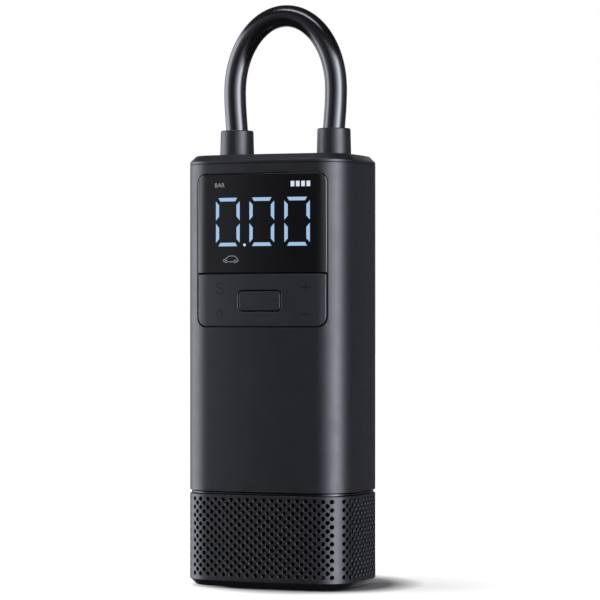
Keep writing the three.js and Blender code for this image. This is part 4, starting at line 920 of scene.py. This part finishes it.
FIGURE_SIDES = ((-18.61, -8.26), (-4.08, 6.28), (10.45, 20.69))
FIGURE_FOOT, FIGURE_TOP, SEGMENT_WIDTH = 133.23, 152.05, 1.36
FIGURE_POINT = (-6.2, 133.7, 0.54)
BAR_LEFTS, BAR_WIDTH, BAR_FOOT, BAR_TOP = (13.03, 15.15, 17.27, 19.39), 1.45, 156.1, 158.2
UNIT_PLACE, UNIT_SIZE = (-19.2, 156.2), 2.4
CAR_OUTLINE = (
    (-14.8, 127.2), (-15.4, 127.4), (-15.2, 128.0), (-14.1, 128.4), (-13.2, 129.2), (-12.5, 129.45),
    (-10.6, 129.4), (-9.9, 129.0), (-9.2, 128.3), (-8.9, 127.7), (-9.1, 127.3), (-9.5, 127.2),
)
CAR_FLOOR = ((-13.4, 127.15), (-10.9, 127.15))
CAR_LINE, WHEEL_LINE = 0.24, 0.22
WHEELS, WHEEL_Z, WHEEL_RADIUS = (-14.15, -10.15), 127.35, 0.5
KEY_LINE = 0.32
BULB_TURNS = [math.radians(-55 + index * 290 / 14) for index in range(15)]
KEY_SIGNS = {
    "plus_across": ((17.0, 117.2), (21.0, 117.2)),
    "plus_up": ((19.0, 115.2), (19.0, 119.2)),
    "minus": ((16.9, 106.7), (20.5, 106.7)),
    "mode_wave": (
        (-15.3, 118.2), (-16.4, 118.9), (-18.1, 118.6), (-18.3, 117.5),
        (-15.6, 116.5), (-15.7, 115.3), (-17.4, 114.8), (-18.6, 115.6),
    ),
    "lamp_glass": [(-17.1 + 1.15 * math.cos(turn), 107.1 + 1.15 * math.sin(turn)) for turn in BULB_TURNS],
    "lamp_foot": ((-17.7, 105.5), (-16.5, 105.5)),
}
MARK_THICKNESS = 0.04 * MM
MARK_PROUD = 0.05 * MM


def in_mm(points):
    return [(x * MM, z * MM) for x, z in points]


def flat_shape(name, points):
    """A flat mark in X and Z from a disc whose corners are moved to their places."""
    clear_selection()
    bpy.ops.mesh.primitive_circle_add(
        vertices=len(points), radius=MM, fill_type="NGON", rotation=(QUARTER, 0, 0)
    )
    obj = settle(name)
    for vert, (x, z) in zip(obj.data.vertices, points):
        vert.co = (x, 0, z)
    edit(obj)
    pull_faces((0, MARK_THICKNESS, 0))
    return done(obj, outward=True)


def stroke(name, points, width, closed=False):
    """A drawn line in X and Z, given in millimetres, flattened to a thin mark."""
    curve = bpy.data.curves.new(name, "CURVE")
    curve.dimensions = "3D"
    curve.bevel_depth = width * MM / 2
    curve.bevel_resolution = 2
    curve.use_fill_caps = True
    line = curve.splines.new("POLY")
    line.points.add(len(points) - 1)
    for point, (x, z) in zip(line.points, in_mm(points)):
        point.co = (x, 0, z, 1)
    line.use_cyclic_u = closed
    obj = bpy.data.objects.new(name, curve)
    bpy.context.collection.objects.link(obj)
    select_only(obj)
    bpy.ops.object.convert(target="MESH")
    obj = bpy.context.object
    for vert in obj.data.vertices:
        vert.co.y = vert.co.y / (width * MM) * MARK_THICKNESS
    return obj


def join_all(name, parts):
    select_only(parts[0])
    for part in parts[1:]:
        part.select_set(True)
    bpy.ops.object.join()
    obj = bpy.context.object
    obj.name = name
    obj.data.name = name
    return obj


def slice_upright(obj):
    """Cuts a wide flat mark into upright strips, so that it can follow the curved face."""
    step = 1.2 * MM
    low = min(vert.co.x for vert in obj.data.vertices)
    high = max(vert.co.x for vert in obj.data.vertices)
    edit(obj)
    count = int((high - low) / step)
    for index in range(1, count):
        bpy.ops.mesh.select_all(action="SELECT")
        bpy.ops.mesh.bisect(plane_co=(low + (high - low) * index / count, 0, 0), plane_no=(1, 0, 0))
    return done(obj)


def digit_segments(name, left, right):
    """Six mitred segments of a figure 0."""
    foot, top, wide = FIGURE_FOOT * MM, FIGURE_TOP * MM, SEGMENT_WIDTH * MM
    middle = (foot + top) / 2
    outer, inner = 1.1 * MM, 1.93 * MM
    side_outer, side_inner = 1.4 * MM, 2.8 * MM
    waist_outer, waist_inner = 0.62 * MM, 2.2 * MM
    parts = []
    for z, inward in ((top, -1), (foot, 1)):
        parts.append([
            (left + outer, z), (right - outer, z),
            (right - inner, z + inward * wide), (left + inner, z + inward * wide),
        ])
    for x, inward in ((left, 1), (right, -1)):
        inside = x + inward * wide
        for end, away in ((top, -1), (foot, 1)):
            parts.append([
                (x, end + away * side_outer), (x, middle - away * waist_outer),
                (inside, middle - away * waist_inner), (inside, end + away * side_inner),
            ])
    return [flat_shape(f"{name}_{index}", points) for index, points in enumerate(parts)]


def circle_points(x, z, radius, count):
    turns = [index * math.tau / count for index in range(count)]
    return [(x + radius * math.cos(turn), z + radius * math.sin(turn)) for turn in turns]


class INFLATOR_OT_display_marks(Maker, bpy.types.Operator):
    """Lit figures, battery bars, unit and car sign on the window's face"""

    bl_idname = "inflator.display_marks"
    bl_label = "Display marks"

    def build(self, sizes, colours, section):
        figures = []
        for index, (left, right) in enumerate(FIGURE_SIDES):
            figures += digit_segments(f"figure_{index}", left * MM, right * MM)
        figures = join_all("display_figures", figures)
        slice_upright(figures)
        bars = []
        for index, left in enumerate(BAR_LEFTS):
            right = left + BAR_WIDTH
            corners = [(left, BAR_FOOT), (right, BAR_FOOT), (right, BAR_TOP), (left, BAR_TOP)]
            bars.append(flat_shape(f"bar_{index}", in_mm(corners)))
        bars.append(flat_shape("figure_point", in_mm(circle_points(*FIGURE_POINT, 16))))
        bars = join_all("display_bars", bars)
        signs = [self.unit_word()]
        signs.append(stroke("car_outline", CAR_OUTLINE, CAR_LINE))
        signs.append(stroke("car_floor", CAR_FLOOR, CAR_LINE))
        for index, x in enumerate(WHEELS):
            ring = circle_points(x, WHEEL_Z, WHEEL_RADIUS, 14)
            signs.append(stroke(f"car_wheel_{index}", ring, WHEEL_LINE, closed=True))
        signs = join_all("display_signs", signs)
        finishes = (
            (figures, "lit_figures", colours.digits, 0.78),
            (bars, "lit_bars", colours.marks, 0.70),
            # The unlit signs glow at full strength: a painted glow
            (signs, "painted_glow_signs", colours.dim, 1.0),
        )
        for obj, name, base, strength in finishes:
            lay_on_front(section, obj, MARK_PROUD)
            dress(obj, "housing", "window", lit(name, base, strength), weighted=False)

    def unit_word(self):
        clear_selection()
        bpy.ops.object.text_add(location=(0, 0, 0))
        unit = bpy.context.object
        unit.data.body = "BAR"
        unit.data.size = UNIT_SIZE * MM
        unit.data.extrude = MARK_THICKNESS / 2
        unit.data.align_x = "LEFT"
        bpy.ops.object.convert(target="MESH")
        unit = bpy.context.object
        unit.rotation_euler = (QUARTER, 0, 0)
        unit.location = (UNIT_PLACE[0] * MM, 0, UNIT_PLACE[1] * MM)
        return settle("unit_word")


class INFLATOR_OT_key_marks(Maker, bpy.types.Operator):
    """Faint signs of the four keys, flat dark marks with painted shade for engraved signs"""

    bl_idname = "inflator.key_marks"
    bl_label = "Key marks"

    def build(self, sizes, colours, section):
        obj = join_all("key_signs", [stroke(name, points, KEY_LINE) for name, points in KEY_SIGNS.items()])
        lay_on_front(section, obj, 0.02 * MM)
        # The signs' dark colour is painted shade, standing in for the shade inside engraved signs
        finish = once(moulded, "printed_signs", colours.signs, 0.5, 0.002 * MM, 3000, 0.2)
        dress(obj, "key_plate", "keys", finish, weighted=False)


class INFLATOR_OT_lamp(Maker, bpy.types.Operator):
    """Frosted lamp lens between the two hose collars"""

    bl_idname = "inflator.lamp"
    bl_label = "Lamp lens"

    def build(self, sizes, colours, section):
        top, thickness = top_of("lamp_lens"), 3.5 * MM
        middle = (0, middle_of("lamp_lens")[1])
        obj = upright_slot("lamp_window", LAMP_LENGTH, LAMP_WIDTH, middle, (top - thickness, top))
        round_edges(obj, 0.3 * MM, 3)
        dress(obj, "housing", "clear", once(frosted, "frosted_lens"), "lamp_lens")


class INFLATOR_OT_hose(Maker, bpy.types.Operator):
    """Thick air hose, bent to the carry loop"""

    bl_idname = "inflator.hose"
    bl_label = "Air hose"

    def build(self, sizes, colours, section):
        end_x, hose_y, _ = middle_of("chuck_sleeve")
        collar = top_of("hose_root_collar")
        clear_selection()
        bpy.ops.curve.primitive_bezier_curve_add(location=(0, 0, 0))
        curve = bpy.context.object.data
        curve.bevel_depth = sizes.hose_radius
        curve.bevel_resolution = 14
        curve.resolution_u = 28
        curve.use_fill_caps = True
        curve.twist_mode = "MINIMUM"
        knots = self.loop(sizes, end_x, collar)
        spline = curve.splines[0]
        spline.bezier_points.add(len(knots) - 2)
        for point, (place, before, after) in zip(spline.bezier_points, knots):
            point.handle_left_type = point.handle_right_type = "FREE"
            point.co = (place[0], hose_y, place[1])
            point.handle_left = (before[0], hose_y, before[1])
            point.handle_right = (after[0], hose_y, after[1])
        bpy.ops.object.convert(target="MESH")
        obj = settle("carry_hose")
        edit(obj)
        done(obj, merge=WELD, outward=True)
        shade(obj, angle=40, weighted=False)
        obj.data.materials.clear()
        obj.data.materials.append(once(polished, "hose_rubber", colours.hose))
        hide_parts("air_hose")
        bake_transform(obj)

    def loop(self, sizes, end_x, collar):
        """Knots of the loop in X and Z, each with its handles before and after it."""
        foot = foot_of("air_hose")
        top = top_of("air_hose") - sizes.hose_radius
        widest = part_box("air_hose")[1][0] - sizes.hose_radius
        belly_rise, lead_share, round_share = 26.4 * MM, 0.35, 0.5523
        belly = top_of("top_cap") + belly_rise
        lead = (belly - collar) * lead_share
        half = [
            ((end_x, foot), (end_x, foot - MM), (end_x, (2 * foot + collar) / 3)),
            ((end_x, collar), (end_x, (foot + 2 * collar) / 3), ((end_x + widest) / 2, collar + lead)),
            ((widest, belly), (widest, belly - lead), (widest, belly + round_share * (top - belly))),
        ]
        knots = [tuple((-x, z) for x, z in knot) for knot in half]
        knots.append(((0, top), (-widest * round_share, top), (widest * round_share, top)))
        return knots + [(place, after, before) for place, before, after in reversed(half)]


class INFLATOR_OT_collars(Maker, bpy.types.Operator):
    """Fixed collar on the left and the nozzle's sleeve on the right"""

    bl_idname = "inflator.collars"
    bl_label = "Hose collars"

    def build(self, sizes, colours, section):
        x, y, _ = middle_of("chuck_sleeve")
        foot, top = foot_of("hose_root_collar"), top_of("hose_root_collar")
        bore = sizes.hose_radius + 0.12 * MM
        through, seat = 2.8 * MM, foot + 1.2 * MM
        side = [
            (6.5 * MM, foot), (6.8 * MM, foot + 0.25 * MM), (6.55 * MM, top - 0.75 * MM),
            (6.5 * MM, top - 0.6 * MM), (6.5 * MM, top - 0.3 * MM), (6.25 * MM, top),
            (sizes.hose_radius + 0.35 * MM, top), (bore, top - 0.3 * MM), (bore, seat), (through, seat),
        ]
        root = turned("root_collar", side + [(through, foot)], (-x, y))
        mouth, wall, outside = foot_of("chuck_sleeve"), 5.4 * MM, 5.9 * MM
        skirt = [(wall, mouth), (5.65 * MM, mouth), (outside, mouth + 0.25 * MM), (outside, foot)]
        ceiling = foot - 0.2 * MM
        sleeve = turned("nozzle_sleeve", skirt + side + [(through, ceiling), (wall, ceiling)], (x, y))
        for obj, body, node in ((root, "housing", "hose_root_collar"), (sleeve, "chuck", "chuck_sleeve")):
            dress(obj, body, "shell", shell_finish(colours), node, angle=32)


class INFLATOR_OT_valve_thread(Maker, bpy.types.Operator):
    """Brass insert with the valve thread inside the nozzle"""

    bl_idname = "inflator.valve_thread"
    bl_label = "Valve thread"

    def build(self, sizes, colours, section):
        low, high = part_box("chuck_insert")
        foot, top, outer = low[2], high[2], (high[0] - low[0]) / 2
        bore, pitch, depth, lead = 3.9 * MM, 0.79 * MM, 0.32 * MM, 0.3 * MM
        profile = [(outer, foot + lead), (outer, top), (bore, top)]
        for index in range(int((top - foot - 1.2 * MM) / pitch)):
            level = top - lead - index * pitch
            profile += [(bore, level), (bore + depth, level - pitch / 2)]
        profile += [(bore, foot + 0.9 * MM), (bore + 0.6 * MM, foot), (outer - lead, foot)]
        obj = turned("valve_insert", profile, middle_of("chuck_insert"), sides=48)
        dress(obj, "chuck", "brass", brass_finish(), "chuck_insert", angle=25)


class INFLATOR_OT_underside(Maker, bpy.types.Operator):
    """Rubber sole with its fine ribs"""

    bl_idname = "inflator.underside"
    bl_label = "Rubber sole"

    def build(self, sizes, colours, section):
        low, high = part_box("rubber_sole")
        foot, top, edge = low[2], high[2], sizes.body_width / 2 - high[0]
        groove, pad = foot + 0.4 * MM, edge + 3.9 * MM
        outline = [
            (edge, top), (edge, groove), (edge + 0.4 * MM, foot), (edge + 2.6 * MM, foot),
            (edge + 2.9 * MM, groove), (edge + 3.6 * MM, groove), (pad, foot),
        ]
        obj = body_ring(section, "sole_pad", outline, sizes.columns, closed=False)
        edit(obj, "EDGE")
        pick(obj, lambda co: co.z < foot + HAIR and near_ring(section, co, pad), "EDGE")
        bpy.ops.mesh.edge_face_add()
        pick(obj, lambda co: co.z > top - HAIR, "EDGE")
        bpy.ops.mesh.edge_face_add()
        done(obj, outward=True)
        dress(obj, "housing", "rubber", rubber_finish(colours), "rubber_sole")


class INFLATOR_OT_inner_finishes(Maker, bpy.types.Operator):
    """Finishes of the CAD nodes that stay: frames, boards, pump and fasteners"""

    bl_idname = "inflator.inner_finishes"
    bl_label = "Inner finishes"

    def build(self, sizes, colours, section):
        black = (moulded, "black_inside", (0.010, 0.010, 0.011, 1), 0.6)
        shell, keys, rubber = shell_finish(colours), key_finish(colours), rubber_finish(colours)
        finishes = {
            "shell": shell,
            "groove": once(*black),
            "inner_plastic": once(*black),
            "window": once(*black),
            "keys": keys,
            "rubber": rubber,
            "hose": rubber,
            "brass": brass_finish(),
            "steel": once(metal, "bright_steel", (0.50, 0.51, 0.53, 1), 0.28, (6, 6, 1)),
            "motor": once(metal, "plated_can", (0.45, 0.46, 0.48, 1), 0.32, (1, 6, 6)),
            "alloy": once(metal, "cast_alloy", (0.52, 0.53, 0.55, 1), 0.45),
            "board": once(masked, "solder_mask"),
            "clear": once(moulded, "milky_tube", (0.62, 0.64, 0.66, 1), 0.3),
            "white_plastic": once(moulded, "white_moulding", (0.66, 0.66, 0.63, 1), 0.45),
            "cells": once(moulded, "cell_wrap", (0.020, 0.085, 0.24, 1), 0.35),
        }
        slots = {entry["node"]: entry["material_slot"] for entry in frame["record"]["subparts"]}
        for name, obj in frame["nodes"].items():
            material = finishes[slots[name]]
            if obj.material_slots:
                for place in obj.material_slots:
                    place.material = material
            else:
                obj.data.materials.append(material)


# Stage


def around(azimuth, distance, height):
    """A place round the object; azimuth 0 is in front and 90 at its right."""
    angle = math.radians(azimuth)
    return (distance * math.sin(angle), -distance * math.cos(angle), height)


# The camera as fitted to the object's outline
VIEW_AZIMUTH, VIEW_DISTANCE, VIEW_HEIGHT = 22.27, 1.1028, 0.1076
LENS, SHIFT_X, SHIFT_Y = 167.4, 0.0286, 0.0202

# Name, place, width, power and tint of the lamps, which aim at the object's middle
LAMPS = (
    ("key_box", around(60, 0.75, 0.30), 0.40, 2.2, (0.94, 0.95, 1.0)),
    ("rim_box", around(-60, 0.70, 0.30), 0.40, 3.0, (0.96, 0.96, 1.0)),
    ("top_box", (-0.24, -0.08, 0.80), 0.32, 7.5, (1, 1, 1)),
)
AIM = Vector((0, 0, 0.10))

FLOOR_RADIUS = 6.0
# The ellipse of painted shadow, outside which the floor glows white and inside which it stays dark round
# the object: place of its middle, and what scales it to a circle
SHADOW_ELLIPSE_PLACE, SHADOW_ELLIPSE_SCALE = (-0.17, -0.17, 0), (24.0, 24.0, 1.0)
# The drape is open behind the object, over twice these degrees
DRAPE_RADIUS, DRAPE_HEIGHT, DRAPE_OPENING = 3.0, 4.0, 17
# Light of the drape's panels by angle round the set, 0 in front and 90 at the object's right
PANEL_LIGHT = (
    (-75, 0.40), (-65, 0.36), (-60, 0.25), (-56, 0.19), (-52, 0.11), (-48, 0.065), (-40, 0.037),
    (-31, 0.036), (-25, 0.020), (-12, 0.009), (-3, 0.010), (8, 0.022), (14, 0.05), (21, 0.10), (28, 0.18),
    (37, 0.28), (45, 0.50), (55, 0.80), (65, 0.95), (72, 0.80), (80, 0.42), (90, 0.13), (100, 0.04),
    (130, 0.012), (165, 0.012), (225, 0.0), (235, 0.06), (245, 0.14), (260, 0.30),
)
PANEL_EDGE = 0.36
PANEL_POWER = 12.0
STRIP_POWER = 7.5


class INFLATOR_OT_stage(bpy.types.Operator):
    """Pale floor, soft lamps and the camera"""

    bl_idname = "inflator.stage"
    bl_label = "Stage"

    def execute(self, context):
        scene = context.scene
        clear_selection()
        bpy.ops.mesh.primitive_circle_add(vertices=96, radius=FLOOR_RADIUS, fill_type="NGON")
        floor = settle("floor")
        self.finish_floor(floor)
        floor.visible_glossy = False
        self.light_world(scene)
        self.hang_drape()
        for name, place, width, power, tint in LAMPS:
            data = bpy.data.lights.new(name, "AREA")
            data.shape = "RECTANGLE"
            data.size = data.size_y = width
            data.energy = power
            data.color = tint
            lamp = bpy.data.objects.new(name, data)
            lamp.location = place
            lamp.rotation_euler = (AIM - Vector(place)).to_track_quat("-Z", "Y").to_euler()
            lamp.visible_glossy = False
            scene.collection.objects.link(lamp)
        data = bpy.data.cameras.new("camera")
        data.sensor_width, data.lens = 36, LENS
        data.shift_x, data.shift_y = SHIFT_X, SHIFT_Y
        data.clip_start, data.clip_end = 0.05, 30
        camera = bpy.data.objects.new("camera", data)
        scene.collection.objects.link(camera)
        camera.location = around(VIEW_AZIMUTH, VIEW_DISTANCE, VIEW_HEIGHT)
        camera.rotation_euler = (QUARTER, 0, math.radians(VIEW_AZIMUTH))
        scene.camera = camera
        scene.view_settings.view_transform = "Standard"
        return {"FINISHED"}

    def hang_drape(self):
        """Cloth round the set, open behind the object, which only reflections see.

        It is dark, with a soft panel of light at the object's right, one at its left and a strip overhead.
        """
        clear_selection()
        bpy.ops.mesh.primitive_cylinder_add(vertices=144, radius=DRAPE_RADIUS, depth=DRAPE_HEIGHT)
        drape = settle("studio_drape")
        away, nearest = Vector(around(VIEW_AZIMUTH + 180, 1, 0)), math.cos(math.radians(DRAPE_OPENING))
        edit(drape, "FACE")
        pick(drape, lambda co: co.normalized().dot(away) > nearest, "FACE")
        bpy.ops.mesh.delete(type="FACE")
        done(drape)
        nodes = Nodes("drape_cloth", grey(0.03), 0.9, 0.1)
        nodes.vary_colour(nodes.noise(8, 2), grey(0.035), grey(0.025))
        round_set = nodes.add("ShaderNodeTexGradient", {"Vector": nodes.where}, gradient_type="RADIAL")
        ramp = nodes.add("ShaderNodeValToRGB", {"Fac": round_set.outputs["Fac"]})
        stops = sorted(((angle / 360 + 0.25) % 1.0, level) for angle, level in PANEL_LIGHT)
        stops = [(0.0, PANEL_EDGE)] + stops + [(1.0, PANEL_EDGE)]
        elements = ramp.color_ramp.elements
        while len(elements) < len(stops):
            elements.new(0.5)
        for element, (place, level) in zip(elements, stops):
            element.position = place
            element.color = grey(level)
        parts = nodes.add("ShaderNodeSeparateXYZ", {"Vector": nodes.where}).outputs
        x, y, z = (parts[axis] for axis in "XYZ")
        tall = nodes.window(z, -1.0, -0.5, 1.5, 1.95)
        sides = nodes.times(tall, ramp.outputs["Color"], PANEL_POWER)
        across = nodes.window(x, -1.1, -0.5, 0.5, 1.2)
        along = nodes.window(y, -1.25, -0.95, -0.70, -0.45)
        strip = nodes.times(across, along, nodes.span(z, 0, STRIP_POWER, 1.97, 1.99))
        nodes.glow((0.87, 0.89, 1.0, 1), nodes.combine("ADD", sides, strip))
        drape.data.materials.append(nodes.material)
        drape.visible_camera = drape.visible_diffuse = drape.visible_shadow = False

    def finish_floor(self, floor):
        """A pale floor that glows white for the camera outside an ellipse round the object, with a painted
        shadow inside it.
        """
        nodes = Nodes("pale_floor", grey(0.25), 0.9, 0.1)
        nodes.vary_colour(nodes.noise(3, 2), grey(0.255), grey(0.245))
        ellipse = {"Vector": nodes.where, "Location": SHADOW_ELLIPSE_PLACE, "Scale": SHADOW_ELLIPSE_SCALE}
        centred = nodes.add("ShaderNodeMapping", ellipse).outputs["Vector"]
        reach = nodes.add("ShaderNodeVectorMath", {0: centred}, operation="LENGTH").outputs["Value"]
        # Painted shadow: the glow fades in just outside the ellipse and grows further out, so the floor
        # darkens round the object
        near, far = nodes.span(reach, 0.0, 0.68, 0.80, 1.14), nodes.span(reach, 0.0, 0.32, 1.0, 4.0)
        nodes.glow(grey(1), nodes.times(nodes.seen_directly(), nodes.combine("ADD", near, far)))
        shown = {
            "Fac": nodes.add("ShaderNodeNewGeometry").outputs["Backfacing"],
            1: nodes.shader.outputs["BSDF"],
            2: nodes.add("ShaderNodeBsdfTransparent").outputs["BSDF"],
        }
        mix = nodes.add("ShaderNodeMixShader", shown)
        nodes.feed(nodes.tree.nodes["Material Output"].inputs["Surface"], mix.outputs["Shader"])
        floor.data.materials.append(nodes.material)

    def light_world(self, scene):
        """Dim light from all round, behind which the camera sees white."""
        scene.world = bpy.data.worlds.new("studio")
        nodes = Tree(scene.world)
        nodes.tree.nodes.clear()
        dim = nodes.add("ShaderNodeBackground", {"Color": (0.36, 0.36, 0.37, 1), "Strength": 1.0})
        pale = nodes.add("ShaderNodeBackground", {"Color": grey(1), "Strength": 1.0})
        inputs = {"Fac": nodes.seen_directly(), 1: dim.outputs[0], 2: pale.outputs[0]}
        mix = nodes.add("ShaderNodeMixShader", inputs)
        nodes.add("ShaderNodeOutputWorld", {"Surface": mix.outputs[0]})


OPERATORS = (
    INFLATOR_OT_inner_finishes,
    INFLATOR_OT_sleeve,
    INFLATOR_OT_top_cap,
    INFLATOR_OT_base_grille,
    INFLATOR_OT_shade_liner,
    INFLATOR_OT_waist_ring,
    INFLATOR_OT_display_window,
    INFLATOR_OT_display_marks,
    INFLATOR_OT_key_plate,
    INFLATOR_OT_key_marks,
    INFLATOR_OT_start_button,
    INFLATOR_OT_lamp,
    INFLATOR_OT_hose,
    INFLATOR_OT_collars,
    INFLATOR_OT_valve_thread,
    INFLATOR_OT_underside,
    INFLATOR_OT_stage,
)


class INFLATOR_PT_pieces(bpy.types.Panel):
    """Lists the inflator's pieces"""

    bl_idname = "INFLATOR_PT_pieces"
    bl_label = "Tire inflator"
    bl_space_type = "VIEW_3D"
    bl_region_type = "UI"
    bl_category = "Inflator"

    def draw(self, context):
        column = self.layout.column()
        for operator in OPERATORS:
            column.operator(operator.bl_idname)


CLASSES = (InflatorSizes, InflatorColours) + OPERATORS + (INFLATOR_PT_pieces,)


def register():
    for cls in CLASSES:
        bpy.utils.register_class(cls)
    bpy.types.Scene.inflator_sizes = PointerProperty(type=InflatorSizes)
    bpy.types.Scene.inflator_colours = PointerProperty(type=InflatorColours)


def unregister():
    del bpy.types.Scene.inflator_colours
    del bpy.types.Scene.inflator_sizes
    for cls in reversed(CLASSES):
        bpy.utils.unregister_class(cls)


def main():
    register()
    for operator in OPERATORS:
        group, name = operator.bl_idname.split(".")
        getattr(getattr(bpy.ops, group), name)()


if __name__ == "__main__":
    main()
